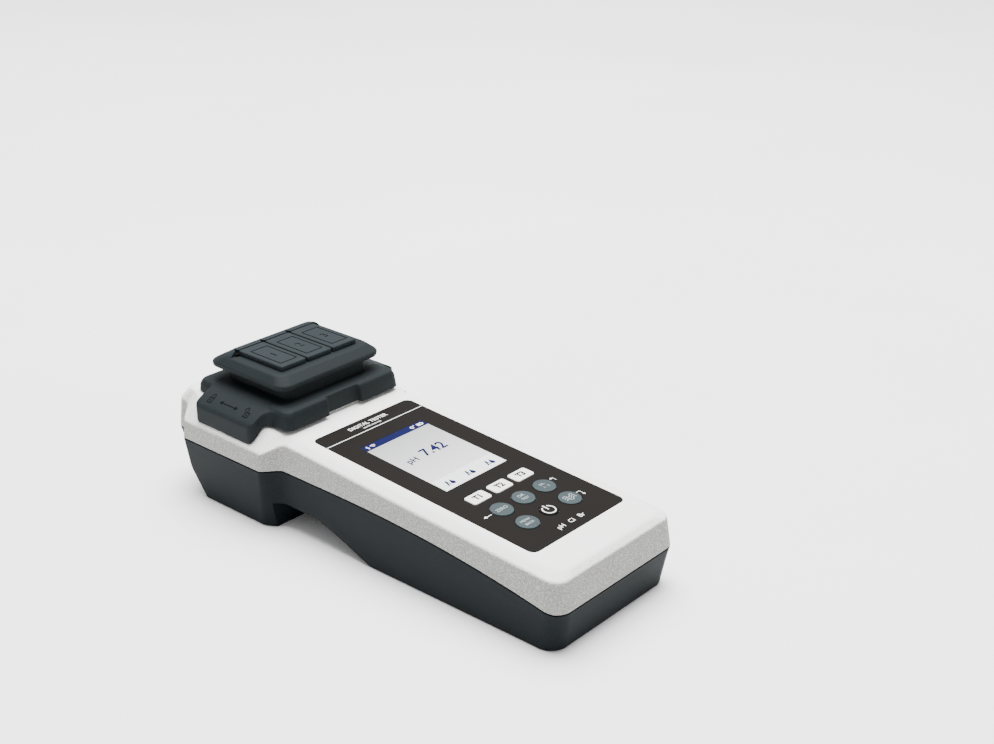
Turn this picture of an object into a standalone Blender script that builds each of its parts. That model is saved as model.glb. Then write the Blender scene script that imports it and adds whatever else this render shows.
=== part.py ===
"""A handheld digital water tester: a two-shell case with keypad and display, and a cuvette adapter.

Sizes are in millimetres and are turned into metres once, in finish_node. y runs along the body from the front
edge of its base, x across it and z up from the ground. FRAME_Y moves the middle of the length to the origin.
"""

import math

import bmesh
import bpy
from mathutils import Matrix, Vector

MM = 0.001
FRAME_Y = -108.65
GAP = 0.3

# Case outline, as half widths and end positions at each height
CORNER_R = 7.5
TAIL_CORNER_R = 5.0
BASE = {
    "z": 0.0, "handle": 36.6, "head": 42.2, "tail": 35.0,
    "front": 0.0, "rear": 208.5, "shoulder": (147.0, 159.5), "back": (196.5, 203.0),
}
KINK = {
    "z": 13.5, "handle": 37.4, "head": 43.8, "tail": 37.0,
    "front": -2.5, "rear": 216.0, "shoulder": (147.1, 157.8), "back": (204.2, 210.6),
}
PARTING = {
    "handle": 38.2, "head": 45.4, "tail": 38.6,
    "front": -3.2, "rear": 220.5, "shoulder": (147.2, 156.2), "back": (205.5, 213.2),
}
BAND = {
    "handle": 36.8, "head": 44.6, "tail": 37.6,
    "front": -1.9, "rear": 219.6, "shoulder": (147.2, 156.2), "back": (205.5, 213.2),
}
CREST = {
    "handle": 32.3, "head": 35.6, "tail": 33.4,
    "front": 1.2, "rear": 217.0, "shoulder": (148.5, 157.5), "back": (203.0, 211.0),
}
BASE_CHAMFER = 0.7
WALL = 2.4
FLOOR = 2.5

# Heights along the case
PARTING_Z = 27.6
PARTING_DROP = 10.4
PARTING_LEVEL_Y = 120.0
PARTING_POWER = 2.2
SEAM = 1.0
SEAL_INSET = 0.8
SEAL_FIT = 0.2
SEAL_W = 1.2
TOP_Z = 33.15
TOP_SLOPE = 0.0647
TILT = math.atan(TOP_SLOPE)
BAND_BELOW_TOP = 2.5
BAND_LIMIT_Z = 40.3
BEVEL_SLOPE = 0.551
TAIL_RISE = 0.12

# Finger arch under the handle, as (y, z) from the handle's foot to the head block
ARCH_REAR_Y = 153.0
ARCH = (
    (93.0, -1.0), (98.0, 0.6), (104.0, 2.9), (114.0, 6.9), (124.0, 10.3), (131.0, 11.7),
    (ARCH_REAR_Y, 12.2), (ARCH_REAR_Y, -1.0),
)
ARCH_WALL = 2.4

# Keypad overlay, measured on the sloping top face from its own lower edge
LABEL_W = 57.7
LABEL_L = 122.7
LABEL_START_Y = 16.45
LABEL_R = 3.3
LABEL_T = 0.6
LABEL_FIT = 0.2
SCREEN_W = 36.8
SCREEN_V = (54.4, 104.2)
LENS_MARGIN = 0.6
LENS_FIT = 0.2
LENS_W = (-1.6, -0.15)
MODULE_W = (-4.3, -1.9)
T_KEY = (10.5, 6.6, 1.2)
T_KEY_V = 42.3
T_KEY_U = (-13.1, 0.05, 13.2)
ROUND_KEY_R = 4.9
ROUND_KEYS = ((-13.1, 29.7), (0.05, 29.7), (13.3, 29.7), (-13.1, 16.4), (13.3, 16.4))
POWER_KEY = (0.0, 16.4)
POWER_KEY_R = 3.9
KEY_PROUD = 0.35
KEY_CHAMFER = 0.25
KEY_TOP_SCALE = 0.95
KEY_FIT = 0.25
KEY_STEM_W = -4.0
BOARD_W = (-6.4, -4.8)
BOARD_X = 28.0
BOARD_V = (4.0, 116.0)

# Battery bay under the handle
DOOR = {"x": 27.0, "y": (14.0, 88.0), "r": 4.0, "z": (0.0, 2.0)}
DOOR_LEDGE = 3.0
BAY_R = 2.0
CELL_R = 7.15
CELL_L = 50.0
CELL_Y = 22.0
CELL_Z = 12.5
CELL_PITCH = 16.0
CELL_FIT = 0.35
TERMINAL_R = 2.6
DOOR_CHAMFER = 0.4
CRADLE_X = 22.6
CRADLE_END = 1.5
CRADLE_LOW = 2.9
CONTACT_X = 22.0
CONTACT_T = 0.6
CONTACT_Z = (4.6, 17.5)

# Measuring head
CUVETTE_PITCH = 15.0
CUVETTE_W = 11.2
CUVETTE_L = 24.6
CUVETTE_WALL = 1.0
CUVETTE_Z = (14.5, 64.4)
CHAMBER_Y = 178.0
ADAPTER_TRAVEL = 4.0
TRAY_WALL = 1.4
WELL_X = 29.6
WELL_Y = (158.0, 202.0)
WELL_R = 3.0
TRAY_Z = (12.5, 41.0)
PORT_X = 2.0
PORT_Z = (26.0, 30.0)
PORT_SPACE = 2.6
EMITTER_R = 1.6
OPTICS_BOARD_X = 20.0
OPTICS_BOARD_Z = (18.0, 38.0)
OPTICS_BOARD_T = 1.4
RAIL_Y = (164.0, 196.0)
NOTCH_Y = (181.4, 185.8)
PAD_TOP = 44.1
PAD = {"x": 32.4, "y": (149.8, 176.0), "r": 3.0}
BLOCK_LOW = {"z": 30.0, "x": 35.7, "y": (146.6, 211.2), "r": 4.6}
BLOCK_SIDE = {"z": 50.3, "x": 33.2, "y": (148.8, 209.8), "r": 4.0}
BLOCK_EDGE = {"z": 52.2, "x": 32.3, "y": (149.7, 208.9), "r": 4.0}
BLOCK_CREST = {"z": 53.0, "x": 30.2, "y": (151.8, 206.8), "r": 4.0}
NECK = {"x": 23.8, "y": (158.0, 200.8), "r": 4.5}
PLATE_LOW = {"z": 59.4, "x": 30.0, "y": (154.8, 205.6), "r": 6.0}
PLATE_RIM = {"z": 61.3, "x": 30.0, "y": (154.8, 205.6), "r": 6.0}
PLATE_LIP = 0.8
PLATE_TOP = {"z": 64.7, "x": 26.4, "y": (160.2, 199.8), "r": 5.0}
FLAP_Y = (163.6, 192.4)
FLAP_TOP = 67.1
FLAP_LOW = 65.0
FLAP_GAP = 0.7
PLUG_LOW = 63.1
PLUG_TAPER = 0.4
CROWN_X = 2.6
CROWN_Y = 3.9
THUMB_X = 9.5
THUMB_Y = 150.6
THUMB_R = 0.9
WING_Y = (161.5, 199.5)
WING_X = (20.0, 43.4)
WING_R = 2.5
WING_LOW = 34.0
WING_EDGE_Z = 45.7
WING_ROOT = (25.0, 52.95)
WING_FALL = 0.0198
WING_CURVE_X = (28.0, 31.0, 34.0, 37.0, 40.0, 42.3)
WING_FILLET = 5.0

MATERIALS = {
    "shell_light": ((0.82, 0.82, 0.80), 0.55, 0.0),
    "shell_dark": ((0.035, 0.042, 0.048), 0.5, 0.0),
    "seal": ((0.02, 0.02, 0.02), 0.8, 0.0),
    "overlay": ((0.045, 0.042, 0.039), 0.45, 0.0),
    "lens": ((0.75, 0.77, 0.80), 0.1, 0.0),
    "screen": ((0.6, 0.62, 0.65), 0.3, 0.0),
    "board": ((0.02, 0.16, 0.07), 0.5, 0.0),
    "key_white": ((0.85, 0.85, 0.84), 0.45, 0.0),
    "key_grey": ((0.11, 0.15, 0.17), 0.45, 0.0),
    "adapter": ((0.05, 0.058, 0.064), 0.6, 0.0),
    "rubber": ((0.03, 0.034, 0.037), 0.75, 0.0),
    "clear": ((0.85, 0.9, 0.92), 0.05, 0.0),
    "steel": ((0.62, 0.62, 0.62), 0.3, 1.0),
    "cell": ((0.12, 0.12, 0.14), 0.35, 0.3),
}


def clear_scene():
    for obj in list(bpy.data.objects):
        bpy.data.objects.remove(obj)


def material(slot):
    name = "part_" + slot
    if name in bpy.data.materials:
        return bpy.data.materials[name]
    colour, roughness, metallic = MATERIALS[slot]
    made = bpy.data.materials.new(name)
    made.use_nodes = True
    shader = made.node_tree.nodes["Principled BSDF"]
    shader.inputs["Base Color"].default_value = (*colour, 1.0)
    shader.inputs["Roughness"].default_value = roughness
    shader.inputs["Metallic"].default_value = metallic
    return made


def top_z(y):
    return TOP_Z + TOP_SLOPE * y


def parting_z(y):
    below = max(0.0, 1.0 - max(y, 0.0) / PARTING_LEVEL_Y)
    return PARTING_Z - PARTING_DROP * below**PARTING_POWER


def band_z(x, y):
    """Height of the side band's upper edge: parallel to the top face on the handle, lower on the head."""
    level = min(top_z(y) - BAND_BELOW_TOP, BAND_LIMIT_Z) + TAIL_RISE * max(0.0, y - BAND["back"][0])
    return level - BEVEL_SLOPE * max(0.0, abs(x) - BAND["handle"])


def arc(centre, radius, start, end, steps):
    """Points of an arc from the start angle to the end angle, in degrees."""
    points = []
    for i in range(steps + 1):
        angle = math.radians(start + (end - start) * i / steps)
        points.append((centre[0] + radius * math.cos(angle), centre[1] + radius * math.sin(angle)))
    return points


def shoulder(x0, x1, y0, y1, steps):
    """An S-shaped stretch of outline from (x0, y0) to (x1, y1)."""
    points = []
    for i in range(steps + 1):
        t = i / steps
        points.append((x0 + (x1 - x0) * (1 - math.cos(math.pi * t)) / 2, y0 + (y1 - y0) * t))
    return points


def case_outline(level, inset=0.0):
    """The case's plan outline: the right half from front to rear, then its mirror image back to the front."""
    handle, head, tail = level["handle"] - inset, level["head"] - inset, level["tail"] - inset
    front, rear = level["front"] + inset, level["rear"] - inset
    r, tail_r = max(CORNER_R - inset, 2.0), max(TAIL_CORNER_R - inset, 2.0)
    shift = inset / 2
    half = arc((handle - r, front + r), r, -90, 0, 6)
    half += [(handle, y) for y in (14, 24, 34, 46, 60, 76, 92, 106, 120, 134)]
    half += shoulder(handle, head, level["shoulder"][0] + shift, level["shoulder"][1] + shift, 8)
    half += [(head, y) for y in (168, 180, 190)]
    half += shoulder(head, tail, level["back"][0] - shift, level["back"][1] - shift, 6)
    half += arc((tail - tail_r, rear - tail_r), tail_r, 0, 90, 4)
    return half + [(-x, y) for x, y in reversed(half)]


def ring(outline, height):
    """The outline's points at a height, which is a number or a function of x and y."""
    return [Vector((x, y, height(x, y) if callable(height) else height)) for x, y in outline]


def rounded_box_ring(half_x, y_range, r, z, steps=4):
    half = arc((half_x - r, y_range[0] + r), r, -90, 0, steps)
    half += arc((half_x - r, y_range[1] - r), r, 0, 90, steps)
    return [Vector((x, y, z)) for x, y in half + [(-x, y) for x, y in reversed(half)]]


def loft(rings):
    """A closed solid through rings of equal length; each end cap joins every point to its mirror point."""
    bm = bmesh.new()
    count = len(rings[0])
    rows = [[bm.verts.new(point) for point in points] for points in rings]
    for low, high in zip(rows, rows[1:]):
        for i in range(count):
            j = (i + 1) % count
            bm.faces.new((low[i], low[j], high[j], high[i]))
    for row in (rows[0], rows[-1]):
        for i in range(count // 2 - 1):
            bm.faces.new((row[i], row[i + 1], row[count - 2 - i], row[count - 1 - i]))
    bmesh.ops.recalc_face_normals(bm, faces=bm.faces)
    return bm


def box(low, high):
    bm = bmesh.new()
    size = [b - a for a, b in zip(low, high)]
    middle = [(a + b) / 2 for a, b in zip(low, high)]
    bmesh.ops.create_cube(bm, size=1.0, matrix=Matrix.Translation(middle) @ Matrix.Diagonal((*size, 1.0)))
    return bm


def cylinder(centre, r, z0, z1, steps=24):
    bm = bmesh.new()
    place = Matrix.Translation((centre[0], centre[1], (z0 + z1) / 2))
    sizes = {"radius1": r, "radius2": r, "depth": z1 - z0}
    bmesh.ops.create_cone(bm, cap_ends=True, segments=steps, matrix=place, **sizes)
    return bm


def prism(points, along):
    """A solid whose flat outline is moved along a vector."""
    bm = bmesh.new()
    face = bm.faces.new([bm.verts.new(point) for point in points])
    made = bmesh.ops.extrude_face_region(bm, geom=[face])["geom"]
    far = [item for item in made if isinstance(item, bmesh.types.BMVert)]
    bmesh.ops.translate(bm, verts=far, vec=along)
    bmesh.ops.recalc_face_normals(bm, faces=bm.faces)
    return bm


def prism_along_x(profile, x0, x1):
    """A solid whose (y, z) profile runs from x0 to x1."""
    return prism([(x0, y, z) for y, z in profile], (x1 - x0, 0, 0))


def moved(bm, matrix):
    bmesh.ops.transform(bm, matrix=matrix, verts=bm.verts)
    return bm


def face_frame():
    """The sloping top face: u across, v up the slope from the overlay's lower edge, w out of it."""
    start = Vector((0, LABEL_START_Y, top_z(LABEL_START_Y)))
    return Matrix.Translation(start) @ Matrix.Rotation(TILT, 4, "X")


def finish_node(name, bm, slot, origin=(0, 0, 0)):
    """Makes the object, in metres, with its origin at the given point of the millimetre frame."""
    origin = Vector(origin)
    bmesh.ops.translate(bm, verts=bm.verts, vec=-origin)
    bmesh.ops.scale(bm, verts=bm.verts, vec=(MM, MM, MM))
    mesh = bpy.data.meshes.new(name)
    bm.to_mesh(mesh)
    bm.free()
    obj = bpy.data.objects.new(name, mesh)
    obj.location = (origin + Vector((0, FRAME_Y, 0))) * MM
    obj.data.materials.append(material(slot))
    bpy.context.scene.collection.objects.link(obj)
    mesh.shade_smooth()
    mesh.set_sharp_from_angle(angle=math.radians(30))
    return obj


def combine(obj, bm, operation, label):
    """Adds a Boolean of the object with a hidden helper made from bm, and returns the helper."""
    helper = finish_node(obj.name + "_" + label, bm, "steel")
    helper.hide_render = True
    helper.display_type = "WIRE"
    modifier = obj.modifiers.new(label, "BOOLEAN")
    modifier.operation = operation
    modifier.solver = "EXACT"
    modifier.object = helper
    return helper


def cut(obj, bm, label):
    return combine(obj, bm, "DIFFERENCE", label)


def join(obj, bm, label):
    return combine(obj, bm, "UNION", label)


def joined_mesh(parts):
    """Several separate solids in one mesh, for a helper that cuts in several places."""
    whole = bmesh.new()
    for bm in parts:
        mesh = bpy.data.meshes.new("piece")
        bm.to_mesh(mesh)
        bm.free()
        whole.from_mesh(mesh)
        bpy.data.meshes.remove(mesh)
    return whole


def arch_profile(grow):
    """The finger arch's profile, moved outward by grow into the material around it."""
    return [(y + grow * (1 if y == ARCH_REAR_Y else -1), z + grow * (z > 0)) for y, z in ARCH]


CASE_SCREWS = ((31.0, 8.5), (31.0, 90.5), (35.5, 166.0), (35.5, 190.0))
SCREW_HEAD = (2.9, 0.9, 3.0)
SCREW_SHANK_R = 1.5
BOSS_R = 4.2
BOSS_TOP = 15.5
SCREW_TOP = 13.5
DOOR_SCREW = (21.0, 82.0)
DOOR_SCREW_TOP = 8.5


def screw_places():
    return [(side * x, y) for x, y in CASE_SCREWS for side in (-1, 1)]


def door_screw_places():
    return [(side * DOOR_SCREW[0], DOOR_SCREW[1]) for side in (-1, 1)]


def make_bottom_case():
    shell = loft([
        ring(case_outline(BASE, BASE_CHAMFER), 0.0),
        ring(case_outline(BASE), BASE_CHAMFER),
        ring(case_outline(KINK), KINK["z"]),
        ring(case_outline(PARTING), lambda x, y: parting_z(y)),
    ])
    case = finish_node("bottom_case", shell, "shell_dark")
    hollow = loft([
        ring(case_outline(BASE, WALL), FLOOR),
        ring(case_outline(KINK, WALL), KINK["z"]),
        ring(case_outline(PARTING, WALL), lambda x, y: parting_z(y)),
        ring(case_outline(PARTING, WALL), 60.0),
    ])
    cavity = cut(case, hollow, "cavity")
    cut(cavity, prism_along_x(arch_profile(ARCH_WALL), -60, 60), "over_arch")
    cut(case, prism_along_x(ARCH, -60, 60), "arch")
    bosses = [cylinder(place, BOSS_R, 1.0, BOSS_TOP, 16) for place in screw_places()]
    join(case, joined_mesh(bosses), "bosses")
    holes = [cylinder(place, SCREW_HEAD[0] + GAP, -1.0, SCREW_HEAD[2] + GAP, 16) for place in screw_places()]
    holes += [cylinder(place, SCREW_SHANK_R + GAP, 2.0, SCREW_TOP + GAP, 16) for place in screw_places()]
    cut(case, joined_mesh(holes[: len(holes) // 2]), "screw_heads")
    cut(case, joined_mesh(holes[len(holes) // 2 :]), "screw_shanks")
    recess_y = (DOOR["y"][0] - GAP, DOOR["y"][1] + GAP)
    recess_z = (-1.0, DOOR["z"][1] + GAP)
    recess = [rounded_box_ring(DOOR["x"] + GAP, recess_y, DOOR["r"], z) for z in recess_z]
    cut(case, loft(recess), "door_recess")
    bay_x, bay_y = DOOR["x"] - DOOR_LEDGE, (DOOR["y"][0] + DOOR_LEDGE, DOOR["y"][1] - 3 * DOOR_LEDGE)
    bay = [rounded_box_ring(bay_x, bay_y, BAY_R, z) for z in (FLOOR - 2.0, FLOOR + 2.0)]
    cut(case, loft(bay), "battery_bay")
    pilot_r, pilot_top = SCREW_SHANK_R + GAP, DOOR_SCREW_TOP + 0.5
    pilots = [cylinder(place, pilot_r, 1.0, pilot_top, 16) for place in door_screw_places()]
    cut(case, joined_mesh(pilots), "door_screw_holes")


def key_shapes(grow):
    """(name, place, outline, material slot) of every key; grow widens the outline."""
    shapes = []
    for i, u in enumerate(T_KEY_U):
        half_w, half_l = T_KEY[0] / 2 + grow, T_KEY[1] / 2 + grow
        outline = rounded_box_ring(half_w, (-half_l, half_l), T_KEY[2] + grow, 0.0, 3)
        shapes.append((f"key_function_{i + 1}", (u, T_KEY_V), outline, "key_white"))
    for i, place in enumerate(ROUND_KEYS):
        shapes.append((f"key_round_{i + 1}", place, circle_ring(ROUND_KEY_R + grow, 24), "key_grey"))
    shapes.append(("key_power", POWER_KEY, circle_ring(POWER_KEY_R + grow, 24), "overlay"))
    return shapes


def circle_ring(r, steps):
    half = arc((0, 0), r, -90 + 180 / steps, 90 - 180 / steps, steps // 2 - 1)
    return [Vector((x, y, 0)) for x, y in half + [(-x, y) for x, y in reversed(half)]]


def at_height(points, w):
    return [Vector((p.x, p.y, w)) for p in points]


def key_holes(grow, low, high):
    frame = face_frame()
    holes = []
    for _, (u, v), outline, _ in key_shapes(grow):
        hole = loft([at_height(outline, low), at_height(outline, high)])
        holes.append(moved(hole, frame @ Matrix.Translation((u, v, 0))))
    return joined_mesh(holes)


def make_keys():
    frame = face_frame()
    for name, (u, v), outline, slot in key_shapes(0.0):
        place = frame @ Matrix.Translation((u, v, 0))
        rings = [at_height(outline, KEY_STEM_W), at_height(outline, KEY_PROUD - KEY_CHAMFER)]
        rings.append([Vector((p.x * KEY_TOP_SCALE, p.y * KEY_TOP_SCALE, KEY_PROUD)) for p in outline])
        finish_node(name, moved(loft(rings), place), slot, place.translation)


def screen_box(margin, low, high):
    half = SCREEN_W / 2 + margin
    return box((-half, SCREEN_V[0] - margin, low), (half, SCREEN_V[1] + margin, high))


def make_top_case():
    shell = loft([
        ring(case_outline(PARTING), lambda x, y: parting_z(y) + SEAM),
        ring(case_outline(BAND), band_z),
        ring(case_outline(CREST), lambda x, y: top_z(y)),
    ])
    case = finish_node("top_case", shell, "shell_light")
    inner_crest = dict(CREST, front=CREST["front"] + 0.8, rear=CREST["rear"] - 0.8)
    hollow = loft([
        ring(case_outline(PARTING, WALL), 10.0),
        ring(case_outline(PARTING, WALL), lambda x, y: parting_z(y) + SEAM),
        ring(case_outline(BAND, WALL), lambda x, y: band_z(x, y) - 1.0),
        ring(case_outline(inner_crest, 1.2), lambda x, y: top_z(y) - WALL),
    ])
    cut(case, hollow, "cavity")
    frame = face_frame()
    recess_v = (-LABEL_FIT, LABEL_L + LABEL_FIT)
    recess_w = (-LABEL_T - LABEL_FIT, 2.0)
    recess = [rounded_box_ring(LABEL_W / 2 + LABEL_FIT, recess_v, LABEL_R, w) for w in recess_w]
    cut(case, moved(loft(recess), frame), "label_recess")
    cut(case, moved(screen_box(LENS_MARGIN + GAP, -8.0, 2.0), frame), "window_opening")
    cut(case, key_holes(KEY_FIT, -6.0, 1.5), "key_holes")
    pad = loft([rounded_box_ring(PAD["x"], PAD["y"], PAD["r"], z) for z in (PAD_TOP - WALL, PAD_TOP)])
    join(case, pad, "adapter_pad")
    well = loft([rounded_box_ring(WELL_X, WELL_Y, WELL_R, z) for z in (20.0, 60.0)])
    cut(case, well, "adapter_well")


def make_case_seal():
    def seal_ring(inset, lift):
        return ring(case_outline(PARTING, inset), lambda x, y: parting_z(y) + lift)

    outer = loft([seal_ring(SEAL_INSET, SEAL_FIT), seal_ring(SEAL_INSET, SEAM - SEAL_FIT)])
    seal = finish_node("case_seal", outer, "seal")
    hollow = loft([ring(case_outline(PARTING, SEAL_INSET + SEAL_W), z) for z in (5.0, 45.0)])
    cut(seal, hollow, "inside")


def make_keypad():
    frame = face_frame()
    sheet = [rounded_box_ring(LABEL_W / 2, (0, LABEL_L), LABEL_R, w) for w in (-LABEL_T, 0.0)]
    overlay = finish_node("keypad_overlay", moved(loft(sheet), frame), "overlay")
    cut(overlay, moved(screen_box(0.0, -2.0, 1.0), frame), "window_opening")
    cut(overlay, key_holes(KEY_FIT, -2.0, 1.0), "key_holes")
    finish_node("display_window", moved(screen_box(-LENS_FIT, *LENS_W), frame), "lens")
    finish_node("display_module", moved(screen_box(-LENS_FIT, *MODULE_W), frame), "screen")
    board = box((-BOARD_X, BOARD_V[0], BOARD_W[0]), (BOARD_X, BOARD_V[1], BOARD_W[1]))
    finish_node("main_board", moved(board, frame), "board")


def make_battery_door():
    x, (y0, y1), r = DOOR["x"], DOOR["y"], DOOR["r"]
    door = loft([
        rounded_box_ring(x - DOOR_CHAMFER, (y0 + DOOR_CHAMFER, y1 - DOOR_CHAMFER), r, 0.2),
        rounded_box_ring(x, (y0, y1), r, 0.2 + DOOR_CHAMFER),
        rounded_box_ring(x, (y0, y1), r, DOOR["z"][1]),
    ])
    door = finish_node("battery_door", door, "shell_dark")
    places = door_screw_places()
    cut(door, joined_mesh([cylinder(p, SCREW_HEAD[0] + GAP, -1.0, 1.3, 16) for p in places]), "screw_heads")
    cut(door, joined_mesh([cylinder(p, SCREW_SHANK_R + GAP, 0.5, 3.0, 16) for p in places]), "screw_shanks")
    for i, place in enumerate(places):
        make_screw(f"battery_door_screw_{i + 1}", place, 0.3, 1.0, DOOR_SCREW_TOP)


def make_battery_bay():
    """The cradle with its three cells and the contact plates at its ends."""
    y0, y1 = CELL_Y - CRADLE_END, CELL_Y + CELL_L + CRADLE_END
    cradle = box((-CRADLE_X, y0, CRADLE_LOW), (CRADLE_X, y1, CELL_Z))
    cradle = finish_node("battery_cradle", cradle, "shell_dark")
    turn = Matrix.Rotation(math.radians(90), 4, "X")
    for i, side in enumerate((-1, 0, 1)):
        place = Matrix.Translation((side * CELL_PITCH, CELL_Y + CELL_L / 2, CELL_Z)) @ turn
        hole = cylinder((0, 0), CELL_R + CELL_FIT, -CELL_L / 2 - 3, CELL_L / 2 + 3, 24)
        cut(cradle, moved(hole, place), f"cell_{i + 1}")
        make_cell(f"battery_cell_{i + 1}", place, -1 if side == 0 else 1)
    for name, y in (("front", y0 - GAP - CONTACT_T), ("rear", y1 + GAP)):
        plate = box((-CONTACT_X, y, CONTACT_Z[0]), (CONTACT_X, y + CONTACT_T, CONTACT_Z[1]))
        finish_node("battery_contact_" + name, plate, "steel")


def make_cell(name, place, flip):
    """A cell along its own axis, with its terminal at the end that flip chooses."""
    can = cylinder((0, 0), CELL_R, -CELL_L / 2 + 1.2, CELL_L / 2 - 1.2, 24)
    cell = finish_node(name, moved(can, place), "cell")
    ends = sorted((flip * (CELL_L / 2 - 2.0), flip * (CELL_L / 2 + 0.2)))
    join(cell, moved(cylinder((0, 0), TERMINAL_R, ends[0], ends[1], 16), place), "terminal")


def make_screw(name, place, z_low, z_head, z_top):
    """A pan-head screw pointing up, with a cross recess in its head."""
    bm = cylinder(place, SCREW_HEAD[0], z_low, z_head, 16)
    screw = finish_node(name, bm, "steel", (*place, z_low))
    join(screw, cylinder(place, SCREW_SHANK_R, z_head - 0.2, z_top, 16), "shank")
    slot = [
        box((place[0] - 1.6, place[1] - 0.4, z_low - 1), (place[0] + 1.6, place[1] + 0.4, z_low + 0.45)),
        box((place[0] - 0.4, place[1] - 1.6, z_low - 1), (place[0] + 0.4, place[1] + 1.6, z_low + 0.45)),
    ]
    cut(screw, slot[0], "slot_a")
    cut(screw, slot[1], "slot_b")


def make_case_screws():
    for i, place in enumerate(screw_places()):
        make_screw(f"case_screw_{i + 1}", place, SCREW_HEAD[1], SCREW_HEAD[2], SCREW_TOP)


def chamber_x():
    return [side * CUVETTE_PITCH for side in (-1, 0, 1)]


def make_optics():
    half_x = CUVETTE_PITCH + CUVETTE_W / 2 + 0.5
    y_front = CHAMBER_Y - CUVETTE_L / 2 - ADAPTER_TRAVEL - 0.5
    y_rear = CHAMBER_Y + CUVETTE_L / 2 + 0.5
    z0, z1 = TRAY_Z
    wall = TRAY_WALL
    tray = box((-half_x - wall, y_front - wall, z0), (half_x + wall, y_rear + wall, z1))
    tray = finish_node("optics_tray", tray, "shell_dark")
    cut(tray, box((-half_x, y_front, z0 + wall), (half_x, y_rear, z1 + 1)), "pocket")
    ports = []
    for x in chamber_x():
        for y in (y_front - wall, y_rear):
            ports.append(box((x - PORT_X, y - 1, PORT_Z[0]), (x + PORT_X, y + wall + 1, PORT_Z[1])))
    cut(tray, joined_mesh(ports), "light_ports")
    make_optics_board("lamp", y_rear + wall + PORT_SPACE, -1, "clear")
    make_optics_board("sensor", y_front - wall - PORT_SPACE, 1, "seal")
    make_lock_rails(half_x + wall)


def make_optics_board(kind, y, facing, slot):
    """A board with one lamp or sensor before each chamber's light port."""
    plate = sorted((y, y - facing * OPTICS_BOARD_T))
    x, (z0, z1) = OPTICS_BOARD_X, OPTICS_BOARD_Z
    finish_node(kind + "_board", box((-x, plate[0], z0), (x, plate[1], z1)), "board")
    body = sorted((y + facing * GAP, y + facing * (PORT_SPACE - 0.4)))
    r, middle = EMITTER_R, sum(PORT_Z) / 2
    for i, x in enumerate(chamber_x()):
        piece = box((x - r, body[0], middle - r), (x + r, body[1], middle + r))
        finish_node(f"{kind}_{i + 1}", piece, slot)


HOOK_X = (25.0, 28.4)
HOOK_T = 1.8
HOOK_Y = (186.0, 189.6)
HOOK_Z = (35.4, 37.6)
HOOK_ROOT_Z = 45.1
RAIL_Z = (38.0, 40.4)
RAIL_OUT = 26.2


def make_lock_rails(tray_side):
    """A rail on each side of the tray: the adapter's hooks lie under its tooth, and leave by its notch."""
    for name, side in (("left", -1), ("right", 1)):
        inner = tray_side + GAP
        rail = box((inner, RAIL_Y[0], RAIL_Z[0]), (RAIL_OUT, RAIL_Y[1], RAIL_Z[1]))
        rail = finish_node("lock_rail_" + name, mirrored(rail, side), "steel")
        notch = box((inner + 1.2, NOTCH_Y[0], 30.0), (RAIL_OUT + 1, NOTCH_Y[1], 50.0))
        cut(rail, mirrored(notch, side), "notch")


def mirrored(bm, side):
    """The solid itself for the right side, or its mirror image for the left."""
    if side < 0:
        moved(bm, Matrix.Diagonal((-1, 1, 1, 1)))
        bmesh.ops.reverse_faces(bm, faces=bm.faces)
    return bm


def wing_curve(drop=0.0):
    """(x, z) points of the wing's top, from its root at the neck to its outer edge."""
    points = [WING_ROOT]
    points += [(x, WING_ROOT[1] - WING_FALL * (x - WING_ROOT[0]) ** 2) for x in WING_CURVE_X]
    points.append((WING_X[1], WING_EDGE_Z))
    return [(x, z - drop) for x, z in points]


def wing_plan(side):
    """The wing seen from above, with round outer corners."""
    (x0, x1), (y0, y1), r = WING_X, WING_Y, WING_R
    plan = [(x0, y0)] + arc((x1 - r, y0 + r), r, -90, 0, 4) + arc((x1 - r, y1 - r), r, 0, 90, 4) + [(x0, y1)]
    return mirrored(prism([(x, y, WING_LOW) for x, y in plan], (0, 0, 30.0)), side)


def wing_section(side):
    """The wing seen from the front, under its curved top."""
    (x0, x1), (y0, y1) = WING_X, WING_Y
    profile = [(x0 - 1, WING_LOW - 1), (x1 + 1, WING_LOW - 1), (x1 + 1, WING_EDGE_Z)]
    profile += list(reversed(wing_curve())) + [(x0 - 1, WING_ROOT[1])]
    return mirrored(prism([(x, y0 - 1, z) for x, z in profile], (0, y1 - y0 + 2, 0)), side)


def wing_clearance(side):
    """What is taken off the block, so that the wing's top runs unbroken up to the neck."""
    (_, x1), (y0, y1) = WING_X, WING_Y
    high = WING_ROOT[1] + 10.0
    profile = wing_curve(drop=0.3) + [(x1 + 5, WING_EDGE_Z), (x1 + 5, high), (WING_ROOT[0], high)]
    return mirrored(prism([(x, y0, z) for x, z in profile], (0, y1 - y0, 0)), side)


def wing_fillet(side):
    """The hollow corner between the block's side and the wing's front."""
    wall, front, r = BLOCK_SIDE["x"], WING_Y[0] + 1.0, WING_FILLET
    curve = arc((wall + r, WING_Y[0] - r), r, 180, 90, 6)
    plan = [(wall - 4, curve[0][1])] + curve + [(curve[-1][0], front), (wall - 4, front)]
    return mirrored(prism([(x, y, WING_LOW) for x, y in plan], (0, 0, BLOCK_SIDE["z"] - WING_LOW)), side)


def lock_hook(side):
    """An arm that hangs from the adapter's base, with a toe pointing inward under the lock rail."""
    toe, arm = HOOK_X[0], HOOK_X[1] - HOOK_T
    low, toe_top = HOOK_Z
    profile = ((toe, low), (HOOK_X[1], low), (HOOK_X[1], HOOK_ROOT_Z), (arm, HOOK_ROOT_Z))
    profile += ((arm, toe_top), (toe, toe_top))
    hook = prism([(x, HOOK_Y[0], z) for x, z in profile], (0, HOOK_Y[1] - HOOK_Y[0], 0))
    return mirrored(hook, side)


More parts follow.
